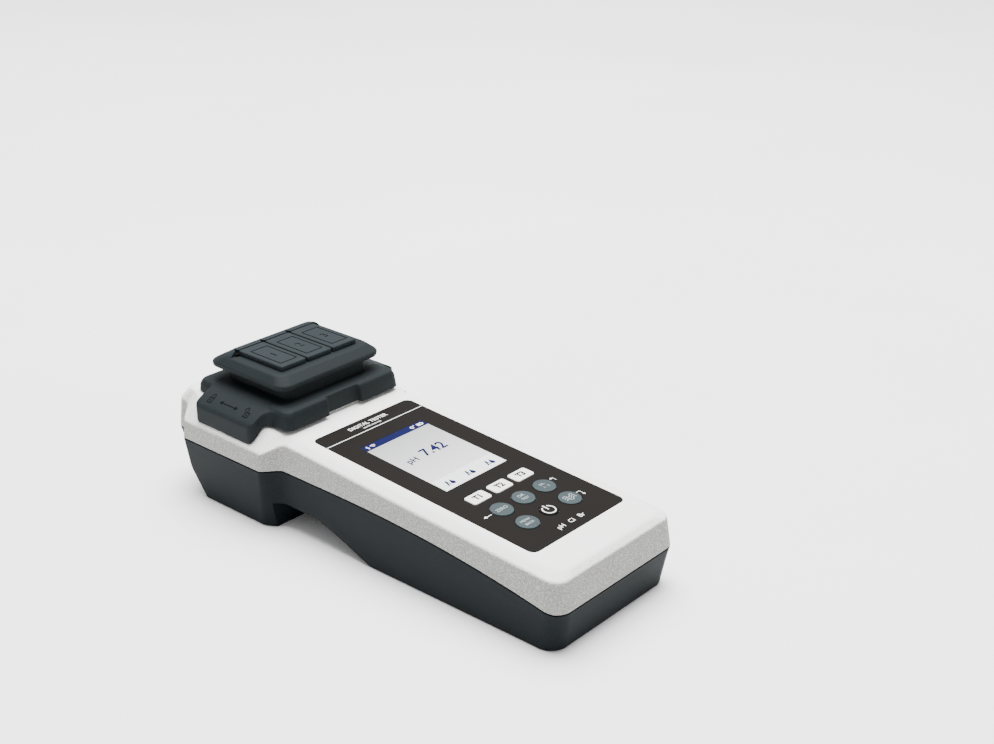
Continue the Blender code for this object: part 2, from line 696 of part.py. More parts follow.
def cuvette_holes(low, high):
    """The three chambers with their clearance, between two heights."""
    half_w, half_l = CUVETTE_W / 2 + GAP, CUVETTE_L / 2 + GAP
    holes = []
    for x in chamber_x():
        holes.append(box((x - half_w, CHAMBER_Y - half_l, low), (x + half_w, CHAMBER_Y + half_l, high)))
    return joined_mesh(holes)


def level_ring(level, steps=6):
    """The ring of one of the adapter's levels, a box with round corners."""
    return rounded_box_ring(level["x"], level["y"], level["r"], level["z"], steps)


def seat_shape():
    """The case's top with its gap, drawn out at the rear by as far as the adapter slides."""
    def drawn_out(level):
        back = tuple(y + ADAPTER_TRAVEL for y in level["back"])
        return case_outline(dict(level, back=back, rear=level["rear"] + ADAPTER_TRAVEL))

    return loft([
        ring(drawn_out(PARTING), 5.0),
        ring(drawn_out(BAND), lambda x, y: band_z(x, y) + 2 * GAP),
        ring(drawn_out(CREST), lambda x, y: max(top_z(y), PAD_TOP) + GAP),
    ])


def make_adapter():
    body = loft([level_ring(level) for level in (BLOCK_LOW, BLOCK_SIDE, BLOCK_EDGE, BLOCK_CREST)])
    base = finish_node("adapter_base", body, "adapter")
    for name, side in (("left", -1), ("right", 1)):
        cut(base, wing_clearance(side), "clearance_" + name)
        join(base, wing_fillet(side), "fillet_" + name)
        wing = join(base, wing_plan(side), "wing_" + name)
        combine(wing, wing_section(side), "INTERSECT", "section")
    front = BLOCK_LOW["y"][0] - 5
    thumb = [rounded_box_ring(THUMB_X, (front, THUMB_Y), THUMB_R, z, 3) for z in (21.3, 61.7)]
    cut(base, loft(thumb), "thumb_recess")
    cut(base, cuvette_holes(20.0, 60.0), "chambers")
    skirt_x, skirt_top = BLOCK_LOW["x"] + 3, PAD_TOP + GAP - 0.05
    cut(base, box((-skirt_x, front, 20.0), (skirt_x, WING_Y[0] - 0.1, skirt_top)), "front_skirt")
    cut(base, seat_shape(), "seat")
    finish_node("lock_hook_left", lock_hook(-1), "steel")
    finish_node("lock_hook_right", lock_hook(1), "steel")


def make_cap():
    """The cap: a neck on the adapter's base and a wider plate with the chamber mouths."""
    lip_y = (PLATE_LOW["y"][0] + PLATE_LIP, PLATE_LOW["y"][1] - PLATE_LIP)
    edge_y = (PLATE_TOP["y"][0] - 0.7, PLATE_TOP["y"][1] + 0.7)
    cap = loft([
        rounded_box_ring(NECK["x"], NECK["y"], NECK["r"], BLOCK_CREST["z"] + GAP, 5),
        rounded_box_ring(NECK["x"], NECK["y"], NECK["r"], PLATE_LOW["z"] - 1.0, 5),
        rounded_box_ring(PLATE_LOW["x"] - PLATE_LIP, lip_y, PLATE_LOW["r"] - PLATE_LIP, PLATE_LOW["z"], 5),
        rounded_box_ring(PLATE_RIM["x"], PLATE_RIM["y"], PLATE_RIM["r"], PLATE_RIM["z"], 5),
        rounded_box_ring(PLATE_TOP["x"] + 0.5, edge_y, PLATE_TOP["r"], PLATE_TOP["z"] - 0.5, 5),
        rounded_box_ring(PLATE_TOP["x"], PLATE_TOP["y"], PLATE_TOP["r"], PLATE_TOP["z"], 5),
    ])
    cap = finish_node("cap_frame", cap, "adapter")
    cut(cap, cuvette_holes(50.0, 66.0), "chambers")


def make_hinge_strip():
    """The crown behind the flaps, which carries the plate's bevel on up to the flaps' height."""
    x, (y0, y1), r = PLATE_TOP["x"], PLATE_TOP["y"], PLATE_TOP["r"]
    strip = loft([
        rounded_box_ring(x, (y0, y1), r, FLAP_LOW, 5),
        rounded_box_ring(x - CROWN_X, (y0, y1 - CROWN_Y), r - 1.5, FLAP_TOP, 5),
    ])
    strip = finish_node("hinge_strip", strip, "rubber")
    cut(strip, box((-x - 5, y0 - 5, FLAP_LOW - 5), (x + 5, FLAP_Y[1] + 2 * GAP, FLAP_TOP + 5)), "flap_side")


def make_cuvettes():
    half_w, half_l = CUVETTE_W / 2, CUVETTE_L / 2
    for i, x in enumerate(chamber_x()):
        low, high = CUVETTE_Z
        tube = box((x - half_w, CHAMBER_Y - half_l, low), (x + half_w, CHAMBER_Y + half_l, high))
        tube = finish_node(f"cuvette_{i + 1}", tube, "clear", (x, CHAMBER_Y, low))
        w, l = half_w - CUVETTE_WALL, half_l - CUVETTE_WALL
        cut(tube, box((x - w, CHAMBER_Y - l, low + CUVETTE_WALL), (x + w, CHAMBER_Y + l, high + 1)), "inside")


def make_flaps():
    """Three light lids; each turns up about the upper edge of the strip behind it."""
    half_w = (CUVETTE_PITCH - FLAP_GAP) / 2
    for i, x in enumerate(chamber_x()):
        lid = loft([
            shifted(rounded_box_ring(half_w, FLAP_Y, 0.9, FLAP_LOW, 3), x),
            shifted(rounded_box_ring(half_w, FLAP_Y, 0.9, FLAP_TOP - 0.7, 3), x),
            shifted(rounded_box_ring(half_w - 0.6, (FLAP_Y[0] + 0.8, FLAP_Y[1]), 0.9, FLAP_TOP, 3), x),
        ])
        flap = finish_node(f"flap_{i + 1}", lid, "rubber", (x, FLAP_Y[1] + GAP, FLAP_TOP))
        w, l = CUVETTE_W / 2 - CUVETTE_WALL - 0.5, CUVETTE_L / 2 - CUVETTE_WALL - 1.5
        tip_w, tip_l = w - PLUG_TAPER, l - PLUG_TAPER
        plug = loft([
            shifted(rounded_box_ring(tip_w, (CHAMBER_Y - tip_l, CHAMBER_Y + tip_l), 1.0, PLUG_LOW, 2), x),
            shifted(rounded_box_ring(w, (CHAMBER_Y - l, CHAMBER_Y + l), 1.0, FLAP_LOW + 0.3, 2), x),
        ])
        join(flap, plug, "plug")


def shifted(points, x):
    return [p + Vector((x, 0, 0)) for p in points]


def main():
    clear_scene()
    make_bottom_case()
    make_case_seal()
    make_top_case()
    make_keypad()
    make_keys()
    make_battery_door()
    make_battery_bay()
    make_case_screws()
    make_optics()
    make_adapter()
    make_cap()
    make_hinge_strip()
    make_cuvettes()
    make_flaps()


main()
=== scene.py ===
"""Looks of a handheld digital water tester: rounded shells, printed keypad, display and a cuvette adapter.

Sizes are in millimetres in the CAD's own layout: y runs from the front edge of the base, x across, z up.
add_piece turns them into metres and moves them by FRAME_Y into the shared frame.
"""
import math

import bmesh
import bpy
from mathutils import Matrix, Vector


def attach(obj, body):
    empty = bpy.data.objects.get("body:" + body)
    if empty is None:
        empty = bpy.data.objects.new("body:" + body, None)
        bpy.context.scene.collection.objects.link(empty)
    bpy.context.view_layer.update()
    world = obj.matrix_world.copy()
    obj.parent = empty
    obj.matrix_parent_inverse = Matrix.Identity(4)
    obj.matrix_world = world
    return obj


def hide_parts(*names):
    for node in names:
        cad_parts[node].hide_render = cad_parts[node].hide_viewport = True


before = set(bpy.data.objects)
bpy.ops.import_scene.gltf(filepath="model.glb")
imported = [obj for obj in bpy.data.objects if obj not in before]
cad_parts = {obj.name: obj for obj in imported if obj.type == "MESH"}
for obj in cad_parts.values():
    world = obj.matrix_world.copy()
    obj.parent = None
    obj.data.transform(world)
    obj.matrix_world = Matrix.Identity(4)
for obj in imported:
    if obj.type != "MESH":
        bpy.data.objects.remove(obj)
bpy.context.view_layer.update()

MM = 0.001
FRAME_Y = -108.65
GAP = 0.3
SHARP_ANGLE = math.radians(32)

# Case outline, as half widths and end positions at each height
CORNER_R = 7.5
TAIL_CORNER_R = 5.0
BASE = {
    "handle": 36.6, "head": 42.2, "tail": 35.0,
    "front": 0.0, "rear": 208.5, "shoulder": (147.0, 159.5), "back": (196.5, 203.0),
}
KINK = {
    "handle": 37.4, "head": 43.8, "tail": 37.0,
    "front": -2.5, "rear": 216.0, "shoulder": (147.1, 157.8), "back": (204.2, 210.6),
}
PARTING = {
    "handle": 38.2, "head": 45.4, "tail": 38.6,
    "front": -3.2, "rear": 220.5, "shoulder": (147.2, 156.2), "back": (205.5, 213.2),
}
BAND = {
    "handle": 36.8, "head": 44.6, "tail": 37.6,
    "front": -1.9, "rear": 219.6, "shoulder": (147.2, 156.2), "back": (205.5, 213.2),
}
CREST = {
    "handle": 32.3, "head": 35.6, "tail": 33.4,
    "front": 1.2, "rear": 217.0, "shoulder": (148.5, 157.5), "back": (203.0, 211.0),
}
KINK_Z = 13.5
WALL = 2.4
FLOOR = 2.5
PARTING_Z = 27.6
PARTING_DROP = 10.4
PARTING_LEVEL_Y = 120.0
PARTING_POWER = 2.2
LIP_LOW = 0.3
LIP_HIGH = 0.75
LIP_W = 1.6
SEAL_INSET = 0.7
SEAL_W = 1.4
TOP_Z = 33.15
TOP_SLOPE = 0.0647
TILT = math.atan(TOP_SLOPE)
BAND_BELOW_TOP = 2.5
BAND_LIMIT_Z = 40.3
BEVEL_SLOPE = 0.551
TAIL_RISE = 0.12
ARCH = ((93.0, -1.0), (98.0, 0.6), (104.0, 2.9), (114.0, 6.9), (124.0, 10.3), (131.0, 11.7), (153.0, 12.2))
ARCH_WALL = 2.4
ARCH_STEPS = 6
ARCH_HALF_X = 60.0

# Battery door and screws in the lower shell
SCREWS = ((31.0, 8.5), (31.0, 90.5), (35.5, 166.0), (35.5, 190.0))
BOSS = {"r": 4.2, "z": (1.0, 15.5)}
SCREW_HEAD = {"r": 3.2, "z": (-1.0, 3.3)}
SCREW_SHANK = {"r": 1.8, "z": (2.0, 13.8)}
DOOR_HOLE = {"x": 27.25, "y": (13.75, 88.25), "r": 4.0, "z": (-1.0, 2.3)}
BAY = {"x": 24.0, "y": (17.0, 79.0), "r": 2.0, "z": (0.5, 4.5)}
DOOR_SCREW = (21.0, 82.0)
DOOR_PILOT = {"r": 1.8, "z": (1.0, 9.0)}

# Keypad overlay and display, on the sloping top face
LABEL_W = 57.7
LABEL_L = 122.7
LABEL_START_Y = 16.45
LABEL_R = 3.3
LABEL_T = 0.6
SCREEN_W = 36.8
SCREEN_V = (54.4, 104.2)
BAR_V = 99.9
CELL_TOP_V = 63.4
LINE_V = 113.5
T_KEY = (10.5, 6.6, 1.2)
T_KEY_V = 42.3
T_KEY_U = (-13.1, 0.05, 13.2)
ROUND_KEY_R = 4.9
ROUND_KEYS = ((-13.1, 29.7), (0.05, 29.7), (13.3, 29.7), (-13.1, 16.4), (13.3, 16.4))
POWER_KEY = (0.0, 16.4)
POWER_KEY_R = 3.9
KEY_PROUD = 0.35
KEY_STEM_W = -4.0
KEY_FIT = 0.22
LABEL_FIT = 0.12
WINDOW_W = -0.08
MARK_W = KEY_PROUD + 0.02
INK = 0.03
LETTER_STEPS = 4

# Adapter
CUVETTE_PITCH = 15.0
CUVETTE_W = 11.2
CUVETTE_L = 24.6
CHAMBER_Y = 178.0
WELL_X = 29.6
WELL_Y = (158.0, 202.0)
PAD_TOP = 44.1
PAD = {"x": 31.6, "y": (151.4, 176.0), "r": 3.0}
BLOCK_LOW = {"z": 30.0, "x": 35.7, "y": (146.6, 211.2), "r": 4.6}
BLOCK_SIDE = {"z": 50.3, "x": 33.2, "y": (148.8, 209.8), "r": 4.0}
BLOCK_EDGE = {"z": 52.2, "x": 32.3, "y": (149.7, 208.9), "r": 4.0}
BLOCK_CREST = {"z": 53.0, "x": 30.2, "y": (151.8, 206.8), "r": 4.0}
NECK = {"x": 23.8, "y": (158.0, 200.8), "r": 4.5}
PLATE_LOW = {"z": 59.4, "x": 30.0, "y": (154.8, 205.6), "r": 6.0}
PLATE_RIM = {"z": 61.3, "x": 30.0, "y": (154.8, 205.6), "r": 6.0}
PLATE_TOP = {"z": 64.7, "x": 26.4, "y": (160.2, 199.8), "r": 5.0}
FLAP_Y = (163.6, 192.4)
FLAP_TOP = 67.1
FLAP_LOW = 65.0
FLAP_GAP = 0.7
FLAP_FRAME = {"x": 4.6, "y": (167.2, 187.0), "width": 0.6}
ENGRAVING = 0.35
NUMERAL = {"size": 6.4, "y": 176.9, "half_depth": 0.6}
CROWN_Y = 180.0
THUMB_X = 9.5
THUMB_Y = 150.6
WING_Y = (161.5, 199.5)
WING_X = (20.0, 43.4)
WING_R = 2.5
WING_LOW = 34.0
WING_EDGE_Z = 45.7
WING_ROOT = (25.0, 52.95)
WING_FALL = 0.0198
WING_FILLET = 5.0
LOCK_MARK_X = 38.2
ADAPTER_TRAVEL = 4.0
ADAPTER_VOXEL = 0.42
ADAPTER_ROUNDS = 7

CAMERA_PLACE = (-0.4005, -0.39845, 0.316)
CAMERA_TURN = (66.7, 0.0, -48.86)
CAMERA_LENS = 53.42
FLOOR_SIZE = 60.0


def top_z(y):
    return TOP_Z + TOP_SLOPE * y


def parting_z(y):
    below = max(0.0, 1.0 - max(y, 0.0) / PARTING_LEVEL_Y)
    return PARTING_Z - PARTING_DROP * below**PARTING_POWER


def soft_min(a, b, width):
    """The smaller of two values, with a round change from one to the other."""
    t = max(width - abs(a - b), 0.0) / width
    return min(a, b) - t * t * width / 4


def band_z(x, y):
    level = soft_min(top_z(y) - BAND_BELOW_TOP, BAND_LIMIT_Z, 1.0) + TAIL_RISE * max(0.0, y - BAND["back"][0])
    return level - BEVEL_SLOPE * max(0.0, abs(x) - BAND["handle"])


def arc(centre, radius, start, end, steps):
    points = []
    for i in range(steps + 1):
        angle = math.radians(start + (end - start) * i / steps)
        points.append((centre[0] + radius * math.cos(angle), centre[1] + radius * math.sin(angle)))
    return points


def shoulder(x0, x1, y0, y1, steps):
    points = []
    for i in range(steps + 1):
        t = i / steps
        points.append((x0 + (x1 - x0) * (1 - math.cos(math.pi * t)) / 2, y0 + (y1 - y0) * t))
    return points


def case_outline(level, inset=0.0):
    """The case's plan outline: the right half from front to rear, then its mirror image back to the front."""
    handle, head, tail = level["handle"] - inset, level["head"] - inset, level["tail"] - inset
    front, rear = level["front"] + inset, level["rear"] - inset
    r, tail_r = max(CORNER_R - inset, 2.0), max(TAIL_CORNER_R - inset, 2.0)
    shift = inset / 2
    half = arc((handle - r, front + r), r, -90, 0, 14)
    half += [(handle, y) for y in range(12, 146, 6)]
    half += shoulder(handle, head, level["shoulder"][0] + shift, level["shoulder"][1] + shift, 18)
    half += [(head, y) for y in (165, 172, 180, 188, 194)]
    half += shoulder(head, tail, level["back"][0] - shift, level["back"][1] - shift, 14)
    half += arc((tail - tail_r, rear - tail_r), tail_r, 0, 90, 9)
    return half + [(-x, y) for x, y in reversed(half)]


def ring(outline, height):
    return [Vector((x, y, height(x, y) if callable(height) else height)) for x, y in outline]


def box_ring(half_x, y_range, r, z, steps=8):
    half = arc((half_x - r, y_range[0] + r), r, -90, 0, steps)
    half += arc((half_x - r, y_range[1] - r), r, 0, 90, steps)
    return [Vector((x, y, z)) for x, y in half + [(-x, y) for x, y in reversed(half)]]


def level_ring(level, steps=8):
    return box_ring(level["x"], level["y"], level["r"], level["z"], steps)


def filleted(rings, radii, steps=5):
    """The rings with each inner one turned into a round edge that reaches that far along its two sides."""
    made = [rings[0]]
    for before, corner, after, reach in zip(rings, rings[1:], rings[2:], radii):
        if reach == 0:
            made.append(corner)
            continue
        starts, ends = [], []
        for a, c, b in zip(before, corner, after):
            back, on = a - c, b - c
            starts.append(c + back * min(reach / max(back.length, 1e-6), 0.48))
            ends.append(c + on * min(reach / max(on.length, 1e-6), 0.48))
        for i in range(steps + 1):
            t = i / steps
            rows = zip(starts, corner, ends)
            made.append([s * (1 - t) ** 2 + c * 2 * t * (1 - t) + e * t * t for s, c, e in rows])
    return made + [rings[-1]]


def loft(rings):
    """A closed solid through rings of equal length. Each end is capped from point to mirror point."""
    bm = bmesh.new()
    count = len(rings[0])
    rows = [[bm.verts.new(point) for point in points] for points in rings]
    for low, high in zip(rows, rows[1:]):
        for i in range(count):
            j = (i + 1) % count
            bm.faces.new((low[i], low[j], high[j], high[i]))
    for row in (rows[0], rows[-1]):
        for i in range(count // 2 - 1):
            bm.faces.new((row[i], row[i + 1], row[count - 2 - i], row[count - 1 - i]))
    bmesh.ops.recalc_face_normals(bm, faces=bm.faces)
    return bm


def box(low, high):
    bm = bmesh.new()
    size = [b - a for a, b in zip(low, high)]
    middle = [(a + b) / 2 for a, b in zip(low, high)]
    bmesh.ops.create_cube(bm, size=1.0, matrix=Matrix.Translation(middle) @ Matrix.Diagonal((*size, 1.0)))
    return bm


def prism(points, along):
    bm = bmesh.new()
    face = bm.faces.new([bm.verts.new(point) for point in points])
    made = bmesh.ops.extrude_face_region(bm, geom=[face])["geom"]
    far = [item for item in made if isinstance(item, bmesh.types.BMVert)]
    bmesh.ops.translate(bm, verts=far, vec=along)
    bmesh.ops.recalc_face_normals(bm, faces=bm.faces)
    return bm


def moved(bm, matrix):
    bmesh.ops.transform(bm, matrix=matrix, verts=bm.verts)
    return bm


def mirrored(bm, side):
    if side < 0:
        moved(bm, Matrix.Diagonal((-1, 1, 1, 1)))
        bmesh.ops.reverse_faces(bm, faces=bm.faces)
    return bm


def merged(parts):
    whole = bmesh.new()
    for bm in parts:
        mesh = bpy.data.meshes.new("piece")
        bm.to_mesh(mesh)
        bm.free()
        whole.from_mesh(mesh)
        bpy.data.meshes.remove(mesh)
    return whole


def face_frame():
    """The sloping top face's frame: u across, v up the slope from the overlay's lower edge, w out of it."""
    start = Vector((0, LABEL_START_Y, top_z(LABEL_START_Y)))
    return Matrix.Translation(start) @ Matrix.Rotation(TILT, 4, "X")


def raw_object(name, bm):
    mesh = bpy.data.meshes.new(name)
    bm.to_mesh(mesh)
    bm.free()
    obj = bpy.data.objects.new(name, mesh)
    bpy.context.scene.collection.objects.link(obj)
    return obj


def solid(name, bm, steps):
    """An object after its Booleans, given as (operation, bmesh) or as (operation, object)."""
    obj = raw_object(name, bm)
    helpers = []
    for operation, other in steps:
        helper = other if isinstance(other, bpy.types.Object) else raw_object("helper", other)
        helpers.append(helper)
        modifier = obj.modifiers.new("boolean", "BOOLEAN")
        modifier.operation = operation
        modifier.solver = "EXACT"
        modifier.object = helper
    bake_modifiers(obj)
    for helper in helpers:
        bpy.data.objects.remove(helper)
    return obj


def bake_modifiers(obj):
    bpy.context.view_layer.update()
    graph = bpy.context.evaluated_depsgraph_get()
    mesh = bpy.data.meshes.new_from_object(obj.evaluated_get(graph))
    obj.modifiers.clear()
    obj.data = mesh


def softened(obj, voxel, rounds):
    """Turns the solid into an even mesh and rounds its edges."""
    remesh = obj.modifiers.new("remesh", "REMESH")
    remesh.mode = "VOXEL"
    remesh.voxel_size = voxel
    smooth = obj.modifiers.new("smooth", "SMOOTH")
    smooth.factor = 0.5
    smooth.iterations = rounds
    bake_modifiers(obj)
    return obj


def add_piece(obj, material, body, replaces=(), weighted=True):
    """Finishes a piece: shared frame in metres, smooth shading, material, and the body that it rides on."""
    place = Matrix.Scale(MM, 4) @ Matrix.Translation((0, FRAME_Y, 0))
    obj.data.transform(place)
    obj.data.materials.clear()
    obj.data.materials.append(material)
    obj.data.shade_smooth()
    obj.data.set_sharp_from_angle(angle=SHARP_ANGLE)
    if weighted:
        normals = obj.modifiers.new("normals", "WEIGHTED_NORMAL")
        normals.keep_sharp = True
    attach(obj, body)
    if replaces:
        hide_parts(*replaces)
    return obj


# Materials

def linear(code):
    """Linear colour from a hex code such as 3A3F42."""
    parts = [int(code[i:i + 2], 16) / 255 for i in (0, 2, 4)]
    return tuple(p / 12.92 if p <= 0.04045 else ((p + 0.055) / 1.055) ** 2.4 for p in parts) + (1.0,)


def textured(name, low, high, grain, roughness, bump, bump_mm=0.05, metallic=0.0, cloud=60.0, shine=0.15):
    """A material whose colour, roughness and relief vary. grain and cloud are noise scales per metre."""
    made = bpy.data.materials.new(name)
    made.use_nodes = True
    nodes, links = made.node_tree.nodes, made.node_tree.links
    shader = nodes["Principled BSDF"]
    shader.inputs["Metallic"].default_value = metallic
    shader.inputs["Specular IOR Level"].default_value = shine
    coords = nodes.new("ShaderNodeTexCoord")
    fine = nodes.new("ShaderNodeTexNoise")
    fine.inputs["Scale"].default_value = grain
    fine.inputs["Detail"].default_value = 3.0
    links.new(coords.outputs["Object"], fine.inputs["Vector"])
    broad = nodes.new("ShaderNodeTexNoise")
    broad.inputs["Scale"].default_value = cloud
    broad.inputs["Detail"].default_value = 2.0
    links.new(coords.outputs["Object"], broad.inputs["Vector"])
    mixed = nodes.new("ShaderNodeMath")
    mixed.operation = "MULTIPLY_ADD"
    mixed.inputs[1].default_value = 0.25
    links.new(broad.outputs["Fac"], mixed.inputs[0])
    links.new(fine.outputs["Fac"], mixed.inputs[2])
    ramp = nodes.new("ShaderNodeValToRGB")
    ramp.color_ramp.elements[0].position = 0.45
    ramp.color_ramp.elements[0].color = linear(low)
    ramp.color_ramp.elements[1].position = 0.78
    ramp.color_ramp.elements[1].color = linear(high)
    links.new(mixed.outputs["Value"], ramp.inputs["Fac"])
    links.new(ramp.outputs["Color"], shader.inputs["Base Color"])
    rough = nodes.new("ShaderNodeMapRange")
    rough.inputs["From Min"].default_value = 0.3
    rough.inputs["From Max"].default_value = 0.7
    rough.inputs["To Min"].default_value = roughness[0]
    rough.inputs["To Max"].default_value = roughness[1]
    links.new(mixed.outputs["Value"], rough.inputs["Value"])
    links.new(rough.outputs["Result"], shader.inputs["Roughness"])
    relief = nodes.new("ShaderNodeBump")
    relief.inputs["Strength"].default_value = bump
    relief.inputs["Distance"].default_value = bump_mm * MM
    links.new(fine.outputs["Fac"], relief.inputs["Height"])
    links.new(relief.outputs["Normal"], shader.inputs["Normal"])
    return made


def shell_material():
    """Light plastic with a sandy speckle, and painted shade: the sloping sides are painted darker than the
    top.
    """
    made = textured("shell_light", "8E8E8A", "EDEDEA", 1500.0, (0.5, 0.68), 0.35, 0.06, shine=0.3)
    nodes, links = made.node_tree.nodes, made.node_tree.links
    shader = nodes["Principled BSDF"]
    geometry = nodes.new("ShaderNodeNewGeometry")
    split = nodes.new("ShaderNodeSeparateXYZ")
    links.new(geometry.outputs["Normal"], split.inputs["Vector"])
    # painted shade: the colour darkens as the face turns from up towards the side, standing in for the weaker
    # light on the sides
    painted_side_shade = nodes.new("ShaderNodeMapRange")
    painted_side_shade.inputs["From Min"].default_value = 0.35
    painted_side_shade.inputs["From Max"].default_value = 0.98
    painted_side_shade.inputs["To Min"].default_value = 0.18
    painted_side_shade.inputs["To Max"].default_value = 0.86
    links.new(split.outputs["Z"], painted_side_shade.inputs["Value"])
    coords = nodes.new("ShaderNodeTexCoord")
    sand = nodes.new("ShaderNodeTexNoise")
    sand.inputs["Scale"].default_value = 1700.0
    sand.inputs["Detail"].default_value = 2.0
    links.new(coords.outputs["Object"], sand.inputs["Vector"])
    mixed = nodes.new("ShaderNodeMath")
    mixed.operation = "MULTIPLY_ADD"
    mixed.inputs[1].default_value = 0.62
    links.new(sand.outputs["Fac"], mixed.inputs[0])
    links.new(painted_side_shade.outputs["Result"], mixed.inputs[2])
    ramp = nodes.new("ShaderNodeValToRGB")
    ramp.color_ramp.elements[0].position = 0.45
    ramp.color_ramp.elements[0].color = linear("7F7F7B")
    ramp.color_ramp.elements[1].position = 1.0
    ramp.color_ramp.elements[1].color = linear("F0F0EE")
    links.new(mixed.outputs["Value"], ramp.inputs["Fac"])
    links.new(ramp.outputs["Color"], shader.inputs["Base Color"])
    return made


def display_material():
    """Pale display: a soft gradient from near white to grey, under a smooth window."""
    made = textured("display", "C4C6CC", "CBCDD2", 900.0, (0.25, 0.35), 0.05, shine=0.2)
    nodes, links = made.node_tree.nodes, made.node_tree.links
    shader = nodes["Principled BSDF"]
    coords = nodes.new("ShaderNodeTexCoord")
    split = nodes.new("ShaderNodeSeparateXYZ")
    links.new(coords.outputs["Object"], split.inputs["Vector"])
    along = nodes.new("ShaderNodeMapRange")
    along.inputs["From Min"].default_value = (LABEL_START_Y + SCREEN_V[0] + FRAME_Y) * MM
    along.inputs["From Max"].default_value = (LABEL_START_Y + SCREEN_V[1] + FRAME_Y) * MM
    links.new(split.outputs["Y"], along.inputs["Value"])
    ramp = nodes.new("ShaderNodeValToRGB")
    ramp.color_ramp.elements[0].color = linear("D2D2D3")
    ramp.color_ramp.elements[1].color = linear("969799")
    links.new(along.outputs["Result"], ramp.inputs["Fac"])
    links.new(ramp.outputs["Color"], shader.inputs["Base Color"])
    return made


def clear_material():
    made = textured("clear_plastic", "DDE6E8", "EAF2F4", 700.0, (0.03, 0.08), 0.03)
    shader = made.node_tree.nodes["Principled BSDF"]
    shader.inputs["Transmission Weight"].default_value = 0.95
    shader.inputs["IOR"].default_value = 1.49
    return made


SHELL_LIGHT = shell_material()
SHELL_DARK = textured("shell_dark", "0F1316", "151A1D", 1800.0, (0.42, 0.55), 0.15, 0.03, shine=0.06)
SEAL = textured("seal", "0A0B0C", "101112", 1500.0, (0.7, 0.85), 0.2, shine=0.05)
OVERLAY = textured("overlay", "100E0D", "161311", 2200.0, (0.5, 0.62), 0.2, 0.03, shine=0.05)
WHITE_KEY = textured("key_white", "E9E6E2", "F6F4F1", 1200.0, (0.35, 0.5), 0.1, 0.03, shine=0.3)
GREY_KEY = textured("key_grey", "2B3538", "354145", 1600.0, (0.4, 0.55), 0.15, 0.03)
ADAPTER = textured("adapter", "14191B", "1B2022", 1700.0, (0.5, 0.68), 0.3, 0.05, shine=0.09)
RUBBER = textured("rubber", "161C1F", "1E2528", 1900.0, (0.55, 0.7), 0.35, 0.05, shine=0.12)
# painted shade: near-black stand-in for the shade in the notches behind the flaps and in the wings' engraved
# marks
RECESS_SHADE = textured("recess", "060707", "0A0B0B", 1500.0, (0.7, 0.85), 0.2, shine=0.05)
WHITE_INK = textured("ink_white", "E8E8E6", "F4F4F2", 1500.0, (0.4, 0.5), 0.05)
BLACK_INK = textured("ink_black", "060606", "0A0A0A", 1500.0, (0.4, 0.5), 0.05)
GREY_INK = textured("ink_grey", "8E979A", "A3ABAD", 1500.0, (0.4, 0.5), 0.05)
NAVY_INK = textured("ink_navy", "080C36", "0B103F", 1500.0, (0.3, 0.4), 0.03, shine=0.05)
PALE_INK = textured("ink_pale", "D6D8DC", "E2E4E7", 1500.0, (0.3, 0.4), 0.03, shine=0.1)
DISPLAY = display_material()
CLEAR = clear_material()
STEEL = textured("plated_steel", "A9ABAD", "C6C8CA", 2600.0, (0.22, 0.38), 0.15, 0.01, metallic=1.0)
BOARD = textured("board", "0B4A26", "12602F", 500.0, (0.35, 0.5), 0.2, 0.04)
CELL = textured("cell_sleeve", "17181C", "22242A", 800.0, (0.25, 0.4), 0.1, 0.02, metallic=0.3)


# Case shells

def make_top_shell():
    rings = [
        ring(case_outline(PARTING, LIP_W), lambda x, y: parting_z(y) + LIP_HIGH),
        ring(case_outline(PARTING), lambda x, y: parting_z(y) + LIP_HIGH),
        ring(case_outline(BAND), band_z),
        ring(case_outline(CREST), lambda x, y: top_z(y)),
        ring(case_outline(CREST, 3.0), lambda x, y: top_z(y)),
    ]
    body = loft(filleted(rings, (0.35, 1.3, 1.7)))
    inner = dict(CREST, front=CREST["front"] + 0.8, rear=CREST["rear"] - 0.8)
    hollow = loft([
        ring(case_outline(PARTING, WALL), 10.0),
        ring(case_outline(PARTING, WALL), lambda x, y: parting_z(y) + LIP_HIGH),
        ring(case_outline(BAND, WALL), lambda x, y: band_z(x, y) - 1.0),
        ring(case_outline(inner, 1.2), lambda x, y: top_z(y) - WALL),
    ])
    sheet = face_frame()
    half, reach = LABEL_W / 2 + LABEL_FIT, (-LABEL_FIT, LABEL_L + LABEL_FIT)
    recess = loft([box_ring(half, reach, LABEL_R, w) for w in (-LABEL_T - 0.2, 2.0)])
    pad = [box_ring(PAD["x"], PAD["y"], PAD["r"], z) for z in (PAD_TOP - 2.5, PAD_TOP)]
    pad.append(box_ring(PAD["x"] - 1.5, (PAD["y"][0] + 1.5, PAD["y"][1]), PAD["r"], PAD_TOP))
    well = loft([box_ring(WELL_X, WELL_Y, 3.0, z) for z in (20.0, 60.0)])
    obj = solid("shell_top", body, [
        ("DIFFERENCE", hollow),
        ("DIFFERENCE", moved(recess, sheet)),
        ("DIFFERENCE", moved(screen_box(0.9, -8.0, 2.0), sheet)),
        ("DIFFERENCE", key_holes(KEY_FIT, -6.0, 1.5)),
        ("UNION", loft(filleted(pad, (0.5,)))),
        ("DIFFERENCE", well),
    ])
    add_piece(obj, SHELL_LIGHT, "case", ["top_case"])


